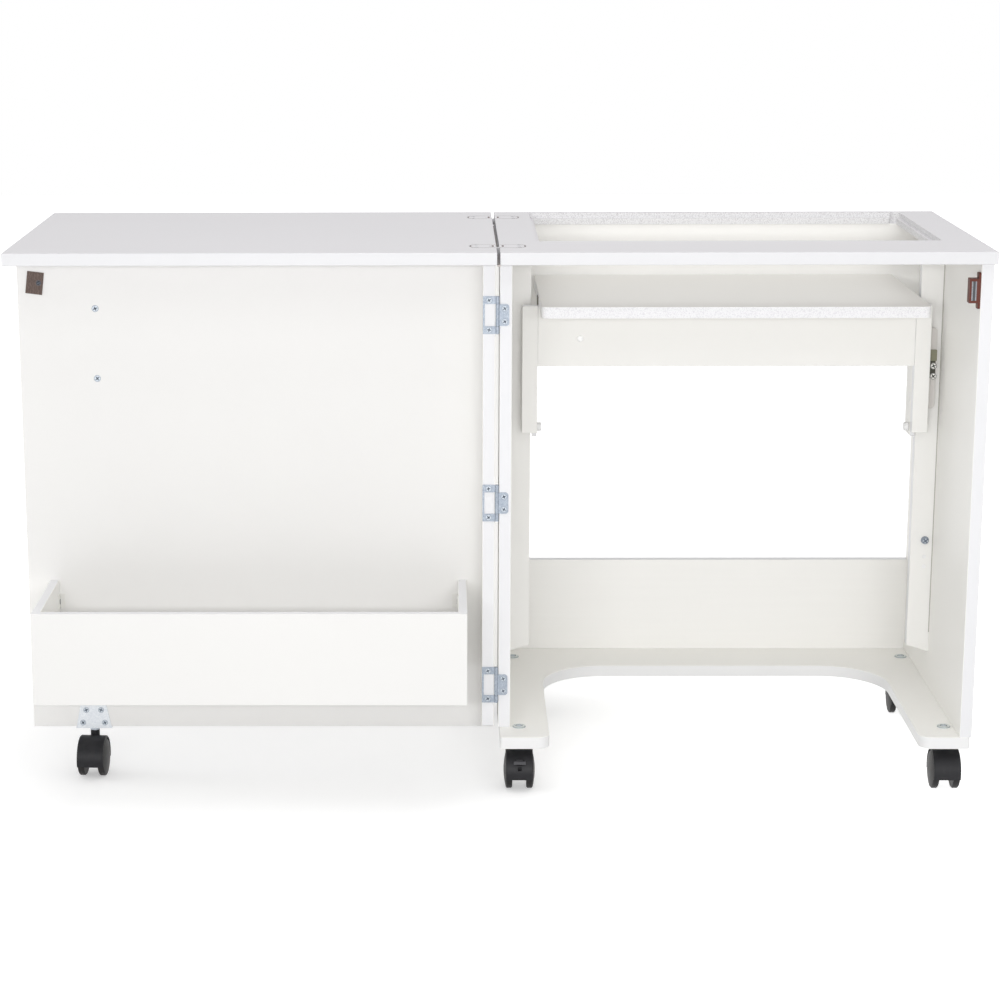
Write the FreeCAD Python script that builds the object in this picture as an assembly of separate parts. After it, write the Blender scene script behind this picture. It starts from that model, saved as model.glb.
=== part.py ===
import FreeCAD, Part
import math
import os

# A sewing machine cabinet on castors, shown open: a fold-over leaf on the left, a swing-out door with
# a storage bin under it, and on the right a knee-hole cabinet with a machine lift under an opening in its
# top. X runs to the right from the gap between leaf and top, the front faces -Y, and Z is up from the floor.
# Lengths are in millimetres. Names that end in share are parts of another size.

V = FreeCAD.Vector

# Overall sizes and boards
board = 17.0                 # melamine faced board
top_height = 770.0           # table surface above the floor
top_width = 666.0            # one half: the leaf or the machine top
top_depth = 500.0
leaf_gap = 4.2               # between leaf and machine top
top_overhang = 19.0          # machine top in front of the right panel
panel_inset = 1.0            # side panels inside the ends of the top
panel_setback = 50.0         # left panel's front edge behind the right panel's
base_height = 85.0           # top face of the base plate
upper_rail_height = 140.0
lower_rail_height = 144.0
edge_ease = 0.6              # small bevel along the edges of a board
cut_overrun = 5.0            # how far a cutter passes the face it starts from
touch = 0.01                 # tolerance for finding an edge by its place

# Base plate, a U open to the front
leg_width = 70.0
leg_inner_radius = 95.0      # inside corners of the U
leg_front_radius = 18.0      # inner front corners of the legs
base_corner_radius = 4.0
base_side_inset = 2.0
base_bridge_depth = 115.0    # board left at the back of the U

# Machine opening in the top, with a ledge for an insert
opening_side_margin = 40.6   # from the inner faces of the side panels
opening_front = 134.6        # from the front edge of the top
opening_back = 20.6          # from the back edge of the top
ledge_width = 5.6
ledge_depth = 8.0
opening_radius = 3.0
finger_hole_radius = 10.0    # in the back right corner, to lift an insert out

# Link hinges between leaf and top, flush with the surface
flap_end_margin = 74.0       # hinge middle from the front and back edges of the top
flap_plate_length = 36.0
flap_plate_width = 38.0
flap_plate_thickness = 2.5
flap_plate_radius = 14.0
flap_recess_play = 0.5       # round the plate and its body
flap_body_width = 22.0
flap_body_reach = 13.0
flap_body_depth = 12.5
flap_pin_drop = 6.5          # pin below the table surface
flap_pin_span = 13.6         # from pin to pin
flap_pin_radius = 1.6
flap_link_width = 6.0
flap_link_radius = 4.6
flap_slot_play = 0.4
flap_screw_spread = 22.0
flap_screw_margin = 9.0

# Door, its hinge-side stile and the bin on its inner face
door_gap = 2.0               # closed door in front of the right panel's edge
door_top_gap = 2.0           # under the leaf and the top
stile_base_gap = 2.0
bin_board = 12.0
bin_depth = 190.0            # from the door to the face of the bin's front board
bin_far_margin = 31.8        # outer end of the bin from the door's far edge
bin_near_x = 42.0            # inner end of the bin from the hinge axis
bin_rise = 89.0              # lower edge of the bin above the door's
bin_height = 129.5
bin_bracket_leg = 14.0         # along the end of the bin
bin_bracket_foot = 8.0         # along the door
bin_bracket_height = 20.0
bin_bracket_thickness = 1.5
bin_bracket_rise = 89.0      # above the lower edge of the bin

# Three flush hinges of the door: a frame leaf whose window takes the small leaf when the door shuts
hinge_lead = 1.0             # axis in front of the left panel's front edge
hinge_low_margin = 63.0      # lowest hinge above the base plate
hinge_high_margin = 77.0     # highest hinge below the underside of the top
hinge_leaf_thickness = 1.5
hinge_barrel_radius = 2.7
hinge_pin_radius = 1.3
hinge_pin_play = 0.05
hinge_height = 52.0
hinge_frame_width = 20.0
hinge_frame_bar = 2.5
hinge_window_height = 31.0
hinge_small_height = 30.0
hinge_small_width = 16.0
hinge_small_radius = 4.0
hinge_arm_screw_inset = 5.5
hinge_small_screw_spread = 18.0
hinge_small_screw_x = 10.0

# Screws
screw_head_radius = 3.6
small_screw_head_radius = 2.6
door_screw_head_radius = 4.2
screw_shank_radius = 1.3
screw_length = 9.0
screw_proud = 0.3            # head above the metal that it holds
screw_hole_play = 0.05

# Magnet catch on the right panel and striker plate on the door
catch_height = 49.0
catch_drop = 38.5            # middle of the catch below the underside of the top
catch_reach = 15.0           # from the panel inwards
catch_depth = 15.0
catch_setback = 2.0
catch_ear_height = 8.0
catch_ear_thickness = 3.0
pole_thickness = 1.6
pole_height = 26.0
pole_spread = 5.0
pole_proud = 0.6
striker_width = 23.2
striker_height = 31.0
striker_thickness = 1.3
striker_tilt_degrees = 7.0
striker_margin = 25.1        # middle of the striker from the door's far edge
striker_screw_offset = 5.5
door_screw_margin = 108.0    # from the door's far edge
door_screw_drops = (74.5, 173.0)

# Lift posts on the side panels
post_width = 33.0
post_front = 262.0           # behind the right panel's front edge
post_rise = 52.0             # foot of the post above the base plate
post_bottom_rise = 10.0      # slanted foot, higher on the inner side
stop_screw_radius = 6.0
stop_screw_height = 5.5      # reaches in front of the carriage that lands on it
stop_screw_rise = 223.0      # above the base plate
stop_screw_inset = 12.0      # from the side panel
plug_radius = 3.0
plug_proud = 0.6
plug_rises = (183.0, 198.0)

# Lift: platform shelf, stretcher, fascias, side plates and carriages that ride on the posts
shelf_drop = 93.0            # platform below the table surface
shelf_play = 2.5             # shelf inside the opening that it rises through
shelf_radius = 8.0
stretcher_height = 88.0
stretcher_front = 242.0
stretcher_hole_radius = 4.5
stretcher_hole_x = 103.5     # from the room's left wall
stretcher_hole_drop = 47.0   # below the shelf's underside
fascia_front = 240.0
fascia_width = 22.5          # covers the front edge of the side plate
fascia_thickness = 16.0
fascia_length = 186.5
fascia_rise = 0.5            # upper end of the fascia above the shelf's underside
plate_thickness = 7.0
plate_depth = 61.0
plate_drop = 8.0             # side plate lower than its fascia
plate_post_play = 2.1        # side plate beside the post
plate_chamfer = 10.0
plate_slot_width = 3.0
plate_slot_height = 14.0
plate_slot_rise = 49.0       # above the fascia's lower end
plate_slot_setback = 26.0
carriage_thickness = 2.5
carriage_rise = 33.0         # above the fascia's lower end
carriage_length = 119.0
carriage_wall_play = 4.0     # carriage beside the side panel
carriage_radius = 7.0
carriage_screw_rises = (48.0, 63.0)
glide_play = 0.3             # glides on the posts
glide_width = 18.0
glide_height = 22.0
glide_end_margin = 6.0
guide_block_height = 16.0
guide_block_width = 11.0
guide_block_depth = 4.5
guide_block_rise = 79.0      # above the carriage's lower end
keeper_depth = 14.0
keeper_width = 15.0
shelf_bracket_length = 26.0
shelf_bracket_thickness = 1.2
shelf_bracket_height = 18.0
shelf_bracket_setback = 1.0  # behind the stretcher

# Lock knobs: a stud through each side plate that clamps on the post
knob_radius = 6.5
knob_length = 7.0
knob_bevel = 1.0
knob_stud_radius = 3.0
knob_stud_play = 0.08
knob_tip_gap = 0.5
knob_rise = 4.0              # above the fascia's lower end

# Twin-wheel castors
castor_end_x = 30.0          # base castors from the outer faces of the side panels
castor_front_y = 52.0        # behind the right panel's front edge
castor_back_margin = 64.0    # from the back edge of the base plate
door_castor_margin = 87.1    # from the door's far edge
castor_neck = 9.7            # hood below the base plate
wheel_width = 9.0
wheel_dome = 3.2             # rise of the rounded outer face
wheel_bevel = 1.5
castor_web = 19.2
castor_web_play = 0.5
castor_trail = 16.0
door_castor_turn_degrees = -4.0   # how the castor under the door stands
hood_play = 1.3
hood_wall = 3.0
hood_skirt_drop = 7.0        # lower edge of the hood below the axle
hood_bevel = 1.2
hood_hole = 5.5              # square hole in the front of the braked hood
hood_hole_depth = 6.0
hood_hole_rise_share = 0.3     # above the axle, of the hood's radius
axle_radius = 2.5
boss_radius = 6.6
boss_rise = 9.0              # lower end of the swivel boss above the axle
boss_gap = 4.0               # boss below the base plate
stem_radius = 4.0
stem_play = 0.05
stem_grip = 26.0             # stem below the base plate
stem_collar_radius = 7.0
stem_collar_gap = 0.3
nut_radius = 9.5
nut_thickness = 1.8
nut_barrel_radius = 6.0
brake_tab_width = 17.0
brake_tab_thickness = 4.0
brake_arm_width = 8.0
brake_reach = 3.8            # tab in front of the hood
brake_pivot_shares = (0.4, 0.6)   # in front of and above the axle, of the hood's radius
brake_pin_radius = 1.5
brake_eye_radius = 3.0
brake_play = 0.4
brake_swing_degrees = 8.0

# Castor bracket under the door
bracket_thickness = 2.5
bracket_plate_thickness = 1.4
bracket_foot_width = 51.5
bracket_head_width = 32.0
bracket_height = 48.0
bracket_screw_rows = (6.0, 25.0)
bracket_screw_spread_shares = (0.307, 0.207)

# Places that follow from the sizes above
top_under = top_height - board
base_under = base_height - board
top_near_x = leaf_gap / 2
top_far_x = top_near_x + top_width
carcass_left = top_near_x + panel_inset
carcass_right = top_far_x - panel_inset
room_left = carcass_left + board
room_right = carcass_right - board
room_middle = (room_left + room_right) / 2
axis_from_panel = panel_setback - hinge_lead
door_from_panel = 2 * axis_from_panel + door_gap
panel_front_y = -(door_from_panel - bin_depth + top_depth - top_overhang) / 2
axis_y = panel_front_y + axis_from_panel
left_front_y = panel_front_y + panel_setback
door_face_y = panel_front_y + door_from_panel
door_back_y = door_face_y + board
bin_front_y = door_face_y - bin_depth
top_front_y = panel_front_y - top_overhang
top_back_y = top_front_y + top_depth
door_top = top_under - door_top_gap
door_bottom = base_under + bracket_thickness
door_far_x = -carcass_right
door_castor_x = door_far_x + door_castor_margin
striker_x = door_far_x + striker_margin
hinge_low = base_height + hinge_low_margin
hinge_high = top_under - hinge_high_margin
hinge_heights = (hinge_low, (hinge_low + hinge_high) / 2, hinge_high)
catch_middle_z = top_under - catch_drop
shelf_top = top_height - shelf_drop
shelf_under = shelf_top - board
fascia_top = shelf_under + fascia_rise
fascia_bottom = fascia_top - fascia_length
carriage_bottom = fascia_bottom + carriage_rise
carriage_top = carriage_bottom + carriage_length
post_front_y = panel_front_y + post_front
post_back_y = post_front_y + board
post_inner_x = room_right - post_width
plate_outer_x = post_inner_x - plate_post_play
plate_inner_x = plate_outer_x - plate_thickness
fascia_front_y = panel_front_y + fascia_front
fascia_back_y = fascia_front_y + fascia_thickness
opening_front_y = top_front_y + opening_front
opening_back_y = top_back_y - opening_back
opening_x = (room_left + opening_side_margin, room_right - opening_side_margin)
shelf_x = (opening_x[0] + shelf_play, opening_x[1] - shelf_play)
shelf_y = (opening_front_y + shelf_play, opening_back_y - shelf_play)
flap_places = (top_front_y + flap_end_margin, top_back_y - flap_end_margin)
bin_bottom = door_bottom + bin_rise
bin_top = bin_bottom + bin_height
wheel_radius = (base_under - castor_neck - hood_play - hood_wall) / 2
hood_radius = wheel_radius + hood_play + hood_wall
boss_bottom = wheel_radius + boss_rise
boss_top = base_under - boss_gap
stem_bottom = base_under - stem_grip
brake_pivot_back = brake_pivot_shares[0] * hood_radius
brake_pivot_rise = brake_pivot_shares[1] * hood_radius
brake_hood_front = math.sqrt(hood_radius ** 2 - brake_pivot_rise ** 2)
brake_arm_length = brake_hood_front - brake_pivot_back + brake_reach
hood_width = castor_web + 2 * castor_web_play + 2 * wheel_width


def box(x, y, z):
    """A block between the low and high values of each axis."""
    return Part.makeBox(x[1] - x[0], y[1] - y[0], z[1] - z[0], V(x[0], y[0], z[0]))


def board_box(x, y, z):
    """A board between the low and high values of each axis, with eased edges."""
    block = box(x, y, z)
    return block.makeChamfer(edge_ease, block.Edges)


def ease_faces(shape, heights):
    """Ease the outlines of a flat board's lower and upper faces."""
    edges = []
    for edge in shape.Edges:
        low, high = edge.BoundBox.ZMin, edge.BoundBox.ZMax
        if any(abs(low - z) < touch and abs(high - z) < touch for z in heights):
            edges.append(edge)
    return shape.makeChamfer(edge_ease, edges)


def bevel_rims(shape, bevel):
    """Bevel the round rims of a turned piece."""
    return shape.makeChamfer(bevel, [edge for edge in shape.Edges if edge.Closed])


def rod(radius, start, end):
    """A round bar from start to end."""
    return Part.makeCylinder(radius, (end - start).Length, start, end - start)


def is_along(edge, axis):
    """True for a straight edge that runs along the axis."""
    if edge.Curve.TypeId != "Part::GeomLine":
        return False
    run = edge.Vertexes[-1].Point - edge.Vertexes[0].Point
    return run.cross(axis).Length < touch


def round_edges(shape, radius, axis, places=None):
    """Round the straight edges along an axis: all of them, or those through the given places."""
    edges = [edge for edge in shape.Edges if is_along(edge, axis)]
    if places is not None:
        spots = [Part.makeLine(place - axis * top_width, place + axis * top_width) for place in places]
        edges = [edge for edge in edges if any(edge.distToShape(spot)[0] < touch for spot in spots)]
    return shape.makeFillet(radius, edges)


def prism(points, depth):
    """A straight-sided solid from a closed outline, pushed along the depth vector."""
    return Part.Face(Part.makePolygon(list(points) + [points[0]])).extrude(depth)


def mirrored(shape):
    """The same piece on the other side of the knee space."""
    return shape.mirror(V(room_middle, 0, 0), V(1, 0, 0))


def without(shape, cutters):
    """The shape with every cutter taken away, as one clean solid."""
    for cutter in cutters:
        shape = shape.cut(cutter)
    return shape.removeSplitter()


def save(node, solids):
    """Write the solids of one node."""
    os.makedirs("parts", exist_ok=True)
    shape = solids[0] if len(solids) == 1 else Part.makeCompound(solids)
    shape.exportStep("parts/" + node + ".step")


def screw(face, inward, head=screw_head_radius, proud=screw_proud):
    """A countersunk screw whose head seats at a face point, pointing inward."""
    crown = face - inward * proud
    taper = head - screw_shank_radius
    cone = Part.makeCone(head, screw_shank_radius, taper + proud, crown, inward)
    shank = rod(screw_shank_radius, face + inward * taper, face + inward * screw_length)
    return cone.fuse(shank).removeSplitter()


def screw_hole(face, inward, head=screw_head_radius, proud=screw_proud):
    """The seat and pilot hole for that screw."""
    crown = face - inward * proud
    taper = head - screw_shank_radius
    wide = head + screw_hole_play
    narrow = screw_shank_radius + screw_hole_play
    seat = Part.makeCone(wide, narrow, taper + proud, crown, inward)
    return seat.fuse(rod(narrow, face, face + inward * screw_length))


def flap_screws(side):
    """Face points of the screws in the link hinge plates on one side of the gap."""
    x = side * (top_near_x + flap_plate_length - flap_screw_margin)
    spreads = (-flap_screw_spread / 2, flap_screw_spread / 2)
    return [V(x, y + spread, top_height) for y in flap_places for spread in spreads]


def flap_screw_holes(side):
    """Seats of the flush screws in the link hinge plates on one side of the gap."""
    return [screw_hole(point, V(0, 0, -1), proud=0) for point in flap_screws(side)]


def flap_outline(y, side, play):
    """A hinge plate and its body, larger all round by the play."""
    near = side * top_near_x
    plate_x = sorted((near, near + side * (flap_plate_length + play)))
    body_x = sorted((near - side * cut_overrun, near + side * (flap_body_reach + play)))
    plate_half = flap_plate_width / 2 + play
    body_half = flap_body_width / 2 + play
    plate = box(plate_x, (y - plate_half, y + plate_half), (top_height - flap_plate_thickness, top_height))
    ends = [V(plate_x[side > 0], y + half * plate_half, top_height) for half in (-1, 1)]
    plate = round_edges(plate, flap_plate_radius, V(0, 0, 1), ends)
    body = box(body_x, (y - body_half, y + body_half), (top_height - flap_body_depth, top_height))
    return plate.fuse(body)


def flap_plate(y, side):
    """One flush plate with the slotted body that holds a hinge pin."""
    near = side * top_near_x
    trim_x = sorted((near, near - side * 2 * cut_overrun))
    trim = box(trim_x, (y - flap_plate_width, y + flap_plate_width), (base_height, top_height + cut_overrun))
    pin_x = side * flap_pin_span / 2
    pin_z = top_height - flap_pin_drop
    slot_half = flap_link_width / 2 + flap_slot_play
    slot_radius = flap_link_radius + flap_slot_play
    slot_y = (V(pin_x, y - slot_half, pin_z), V(pin_x, y + slot_half, pin_z))
    over_pin = box((pin_x - slot_radius, pin_x + slot_radius), (y - slot_half, y + slot_half),
                   (pin_z, top_height + cut_overrun))
    to_gap = box(sorted((near - side * cut_overrun, pin_x)), (y - slot_half, y + slot_half),
                 (pin_z - slot_radius, top_height + cut_overrun))
    pin_hole = rod(flap_pin_radius, *flap_pin_ends(y, side))
    cutters = [trim, rod(slot_radius, *slot_y), over_pin, to_gap, pin_hole]
    cutters += flap_screw_holes(side)
    return without(flap_outline(y, side, 0), cutters)


def flap_pin_ends(y, side):
    """The two ends of one hinge pin."""
    pin_x = side * flap_pin_span / 2
    pin_z = top_height - flap_pin_drop
    half = flap_body_width / 2
    return V(pin_x, y - half, pin_z), V(pin_x, y + half, pin_z)


def flap_link(y):
    """The link that carries the leaf from one pin to the other."""
    half = flap_link_width / 2
    pin_z = top_height - flap_pin_drop
    reach = flap_pin_span / 2
    bar = box((-reach, reach), (y - half, y + half), (pin_z - flap_link_radius, pin_z + flap_link_radius))
    for x in (-reach, reach):
        bar = bar.fuse(rod(flap_link_radius, V(x, y - half, pin_z), V(x, y + half, pin_z)))
    holes = []
    for side in (-1, 1):
        holes.append(rod(flap_pin_radius + hinge_pin_play, *flap_pin_ends(y, side)))
    return without(bar, holes)


def make_tops():
    """The leaf, the machine top with its ledged opening, and the link hinges that join them."""
    sides = {"leaf": -1, "top": 1}
    for name, side in sides.items():
        x = sorted((side * top_near_x, side * top_far_x))
        slab = board_box(x, (top_front_y, top_back_y), (top_under, top_height))
        cutters = [flap_outline(y, side, flap_recess_play) for y in flap_places]
        cutters += flap_screw_holes(side)
        if name == "top":
            hole = box(opening_x, (opening_front_y, opening_back_y),
                       (top_under - cut_overrun, top_height + cut_overrun))
            ledge = box((opening_x[0] - ledge_width, opening_x[1] + ledge_width),
                        (opening_front_y - ledge_width, opening_back_y + ledge_width),
                        (top_height - ledge_depth, top_height + cut_overrun))
            cutters += [round_edges(cutter, opening_radius, V(0, 0, 1)) for cutter in (hole, ledge)]
            corner = V(opening_x[1], opening_back_y, top_under)
            cutters.append(rod(finger_hole_radius, corner, corner + V(0, 0, board)))
        save({"leaf": "leaf_top", "top": "machine_top"}[name], [without(slab, cutters)])
        save("flap_hinge_plates_" + name, [flap_plate(y, side) for y in flap_places])
        save("flap_hinge_pins_" + name, [rod(flap_pin_radius, *flap_pin_ends(y, side)) for y in flap_places])
        save("flap_hinge_screws_" + name, [screw(point, V(0, 0, -1), proud=0) for point in flap_screws(side)])
    save("flap_links", [flap_link(y) for y in flap_places])


def base_castor_places():
    """Swivel axes of the four castors under the base plate, left and right, front and back."""
    columns = {"left": carcass_left + castor_end_x, "right": carcass_right - castor_end_x}
    rows = {"front": panel_front_y + castor_front_y, "back": top_back_y - castor_back_margin}
    return {row + "_" + column: V(columns[column], rows[row], 0) for row in rows for column in columns}


def make_base_plate():
    """The U-shaped base plate with holes for the castor nuts."""
    z = (base_under, base_height)
    x = (carcass_left + base_side_inset, carcass_right - base_side_inset)
    inner = (x[0] + leg_width, x[1] - leg_width)
    bridge_y = top_back_y - base_bridge_depth
    plate = box(x, (panel_front_y, top_back_y), z)
    bay = box(inner, (panel_front_y - cut_overrun, bridge_y), (z[0] - cut_overrun, z[1] + cut_overrun))
    bay = round_edges(bay, leg_inner_radius, V(0, 0, 1), [V(edge, bridge_y, z[0]) for edge in inner])
    plate = without(plate, [bay])
    plate = round_edges(plate, leg_front_radius, V(0, 0, 1), [V(edge, panel_front_y, z[0]) for edge in inner])
    plate = round_edges(plate, base_corner_radius, V(0, 0, 1), [V(edge, panel_front_y, z[0]) for edge in x])
    plate = ease_faces(plate, z)
    places = base_castor_places().values()
    holes = [rod(nut_barrel_radius, V(p.x, p.y, z[0]), V(p.x, p.y, z[1])) for p in places]
    save("base_plate", [without(plate, holes)])


def hinge_screws_cabinet():
    """Face points of the screws in the small leaves on the left panel's front edge."""
    face_y = left_front_y - hinge_leaf_thickness
    spreads = (-hinge_small_screw_spread / 2, hinge_small_screw_spread / 2)
    return [V(hinge_small_screw_x, face_y, z + spread) for z in hinge_heights for spread in spreads]


def catch_screws():
    """Face points of the screws in the ears of the magnet catch."""
    x = room_right - catch_ear_thickness
    y = panel_front_y + catch_setback + catch_depth / 2
    reach = catch_height / 2 - catch_ear_height / 2
    return [V(x, y, catch_middle_z + sign * reach) for sign in (-1, 1)]


def catch_screw_holes():
    """Seats of the screws in the ears of the magnet catch."""
    return [screw_hole(point, V(1, 0, 0), small_screw_head_radius) for point in catch_screws()]


def make_carcass():
    """Side panels and back rails."""
    z = (base_height, top_under)
    left = board_box((carcass_left, room_left), (left_front_y, top_back_y), z)
    left = without(left, [screw_hole(point, V(0, 1, 0)) for point in hinge_screws_cabinet()])
    right = board_box((room_right, carcass_right), (panel_front_y, top_back_y), z)
    right = without(right, catch_screw_holes())
    rail_x = (room_left, room_right)
    rail_y = (top_back_y - board, top_back_y)
    save("left_side_panel", [left])
    save("right_side_panel", [right])
    save("upper_back_rail", [board_box(rail_x, rail_y, (top_under - upper_rail_height, top_under))])
    save("lower_back_rail", [board_box(rail_x, rail_y, (base_height, base_height + lower_rail_height))])


def make_catch():
    """The magnet catch on the right panel: plastic body with ears, two steel poles."""
    x = (room_right - catch_reach, room_right)
    y = (panel_front_y + catch_setback, panel_front_y + catch_setback + catch_depth)
    half = catch_height / 2
    core = half - catch_ear_height
    body = box(x, y, (catch_middle_z - core, catch_middle_z + core))
    ear_x = (room_right - catch_ear_thickness, room_right)
    ears = box(ear_x, y, (catch_middle_z - half, catch_middle_z + half))
    ears = round_edges(ears, catch_ear_thickness, V(1, 0, 0))
    middle_x = (x[0] + ear_x[0]) / 2
    poles = []
    for sign in (-1, 1):
        pole_x = middle_x + sign * pole_spread / 2
        poles.append(box((pole_x - pole_thickness / 2, pole_x + pole_thickness / 2),
                         (y[0] - pole_proud, y[1] - pole_proud),
                         (catch_middle_z - pole_height / 2, catch_middle_z + pole_height / 2)))
    save("catch_body", [without(body.fuse(ears), poles + catch_screw_holes())])
    save("catch_poles", poles)


def hinge_knuckle(z_low, z_high):
    """One knuckle of a door hinge barrel, bored for the pin."""
    bore = rod(hinge_pin_radius + hinge_pin_play, V(0, axis_y, z_low), V(0, axis_y, z_high))
    return rod(hinge_barrel_radius, V(0, axis_y, z_low), V(0, axis_y, z_high)).cut(bore)


def hinge_bore(z):
    """The pin's space through a whole hinge."""
    half = hinge_height / 2
    return rod(hinge_pin_radius + hinge_pin_play, V(0, axis_y, z - half), V(0, axis_y, z + half))


def door_hinge_screws():
    """Face points of the screws in the arms of the frame leaves on the stile's front edge."""
    reach = hinge_height / 2 - hinge_arm_screw_inset
    face_y = left_front_y - hinge_leaf_thickness
    x = -(carcass_left + board / 2)
    return [V(x, face_y, z + sign * reach) for z in hinge_heights for sign in (-1, 1)]


def make_door_hinges():
    """The three door hinges: small leaves on the panel, frame leaves on the stile, and their pins."""
    leaf_y = (left_front_y - hinge_leaf_thickness, left_front_y)
    half = hinge_height / 2
    window = hinge_window_height / 2
    small = hinge_small_height / 2
    frames = []
    leaves = []
    for z in hinge_heights:
        leaf = box((0, hinge_small_width), leaf_y, (z - small, z + small))
        ends = [V(hinge_small_width, leaf_y[0], z + sign * small) for sign in (-1, 1)]
        leaf = round_edges(leaf, hinge_small_radius, V(0, 1, 0), ends)
        leaf = leaf.fuse(hinge_knuckle(z - small, z + small))
        holes = [screw_hole(point, V(0, 1, 0)) for point in hinge_screws_cabinet()]
        leaves.append(without(leaf, [hinge_bore(z)] + holes))
        frame = box((-hinge_frame_width, 0), leaf_y, (z - half, z + half))
        for low, high in ((z - half, z - window), (z + window, z + half)):
            frame = frame.fuse(hinge_knuckle(low, high))
        gap = box((hinge_frame_bar - hinge_frame_width, cut_overrun),
                  (leaf_y[0] - cut_overrun, leaf_y[1] + cut_overrun), (z - window, z + window))
        holes = [screw_hole(point, V(0, 1, 0)) for point in door_hinge_screws()]
        frames.append(without(frame, [gap, hinge_bore(z)] + holes))
    pins = [rod(hinge_pin_radius, V(0, axis_y, z - half), V(0, axis_y, z + half)) for z in hinge_heights]
    save("door_hinge_small_leaves", leaves)
    save("door_hinge_frame_leaves", frames)
    save("door_hinge_pins", pins)
    cabinet = [screw(point, V(0, 1, 0)) for point in hinge_screws_cabinet()]
    cabinet += [screw(point, V(1, 0, 0), small_screw_head_radius) for point in catch_screws()]
    save("cabinet_screws", cabinet)


def bracket_screws():
    """Face points of the four screws in the castor bracket."""
    points = []
    for row, share in zip(bracket_screw_rows, bracket_screw_spread_shares):
        for sign in (-1, 1):
            x = door_castor_x + sign * share * bracket_foot_width
            points.append(V(x, door_face_y - bracket_plate_thickness, door_bottom + row))
    return points


def make_door():
    """Door panel, hinge stile, striker plate and castor bracket."""
    panel = board_box((door_far_x, -carcass_left), (door_face_y, door_back_y), (door_bottom, door_top))
    stile = board_box((-room_left, -carcass_left), (left_front_y, door_face_y),
                      (base_height + stile_base_gap, door_top))
    striker_point = V(striker_x, door_face_y - striker_thickness, catch_middle_z)
    striker_screw = striker_point + V(striker_screw_offset, 0, 0)
    striker = box((striker_x - striker_width / 2, striker_x + striker_width / 2),
                  (door_face_y - striker_thickness, door_face_y),
                  (catch_middle_z - striker_height / 2, catch_middle_z + striker_height / 2))
    striker.rotate(striker_point, V(0, 1, 0), striker_tilt_degrees)
    inward = V(0, 1, 0)
    plain_screws = door_hinge_screws() + bracket_screws() + [striker_screw]
    screws = [(point, screw_head_radius) for point in plain_screws]
    for drop in door_screw_drops:
        point = V(door_far_x + door_screw_margin, door_face_y, top_under - drop)
        screws.append((point, door_screw_head_radius))
    holes = [screw_hole(point, inward, head) for point, head in screws]
    save("door_panel", [without(panel, holes)])
    save("door_stile", [without(stile, [screw_hole(point, inward) for point in door_hinge_screws()])])
    save("striker_plate", [without(striker, [screw_hole(striker_screw, inward)])])
    save("door_screws", [screw(point, inward, head) for point, head in screws])

    foot = bracket_foot_width / 2
    head = bracket_head_width / 2
    plate_y = door_face_y - bracket_plate_thickness
    plate_points = [V(door_castor_x + x, plate_y, z) for x, z in
                    ((-foot, base_under), (foot, base_under), (head, base_under + bracket_height),
                     (-head, base_under + bracket_height))]
    plate = prism(plate_points, V(0, bracket_plate_thickness, 0))
    flange_x = (door_castor_x - foot, door_castor_x + foot)
    bracket = plate.fuse(box(flange_x, (plate_y, door_back_y), (base_under, door_bottom)))
    place = door_castor_place()
    bracket_holes = [screw_hole(point, inward) for point in bracket_screws()]
    bracket_holes.append(rod(stem_radius + stem_play, V(place.x, place.y, base_under),
                             V(place.x, place.y, door_bottom)))
    save("castor_bracket", [without(bracket, bracket_holes)])


def make_bin():
    """The storage bin on the door: front, two ends, floor and the small angle brackets that hold it."""
    z = (bin_bottom, bin_top)
    inner_y = (bin_front_y + bin_board, door_face_y)
    x = (door_far_x + bin_far_margin, -bin_near_x)
    inside = (x[0] + bin_board, x[1] - bin_board)
    save("bin_front", [board_box(x, (bin_front_y, bin_front_y + bin_board), z)])
    save("bin_left_end", [board_box((x[0], inside[0]), inner_y, z)])
    save("bin_right_end", [board_box((inside[1], x[1]), inner_y, z)])
    save("bin_floor", [board_box(inside, inner_y, (bin_bottom, bin_bottom + bin_board))])
    brackets = []
    for wall, side in ((inside[0], 1), (inside[1], -1)):
        foot = side * bin_bracket_foot
        metal = side * bin_bracket_thickness
        low = bin_bottom + bin_bracket_rise
        height = (low, low + bin_bracket_height)
        on_door = box(sorted((wall, wall + foot)), (door_face_y - bin_bracket_thickness, door_face_y), height)
        on_end = box(sorted((wall, wall + metal)), (door_face_y - bin_bracket_leg, door_face_y), height)
        brackets.append(on_door.fuse(on_end).removeSplitter())
    save("bin_brackets", brackets)


def make_posts():
    """The posts that the lift rides on, with slanted feet, stop screws and plugs."""
    post_bottom = base_height + post_rise
    points = [V(post_inner_x, post_front_y, top_under), V(room_right, post_front_y, top_under),
              V(room_right, post_front_y, post_bottom),
              V(post_inner_x, post_front_y, post_bottom + post_bottom_rise)]
    post = prism(points, V(0, board, 0))
    post = post.makeChamfer(edge_ease, post.Edges)
    stop_place = V(room_right - stop_screw_inset, post_front_y, base_height + stop_screw_rise)
    stop = Part.makeCone(stop_screw_radius, stop_screw_radius / 2, stop_screw_height, stop_place, V(0, -1, 0))
    fittings = [stop]
    for rise in plug_rises:
        plug_place = V(stop_place.x, post_front_y, base_height + rise)
        fittings.append(rod(plug_radius, plug_place, plug_place - V(0, plug_proud, 0)))
    save("lift_post_right", [post])
    save("lift_post_left", [mirrored(post)])
    save("post_fittings", fittings + [mirrored(fitting) for fitting in fittings])


def knob_axis():
    """A point on the right lock knob's axis, at the inner face of its side plate."""
    return V(plate_inner_x, post_front_y + board / 2, fascia_bottom + knob_rise)


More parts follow.
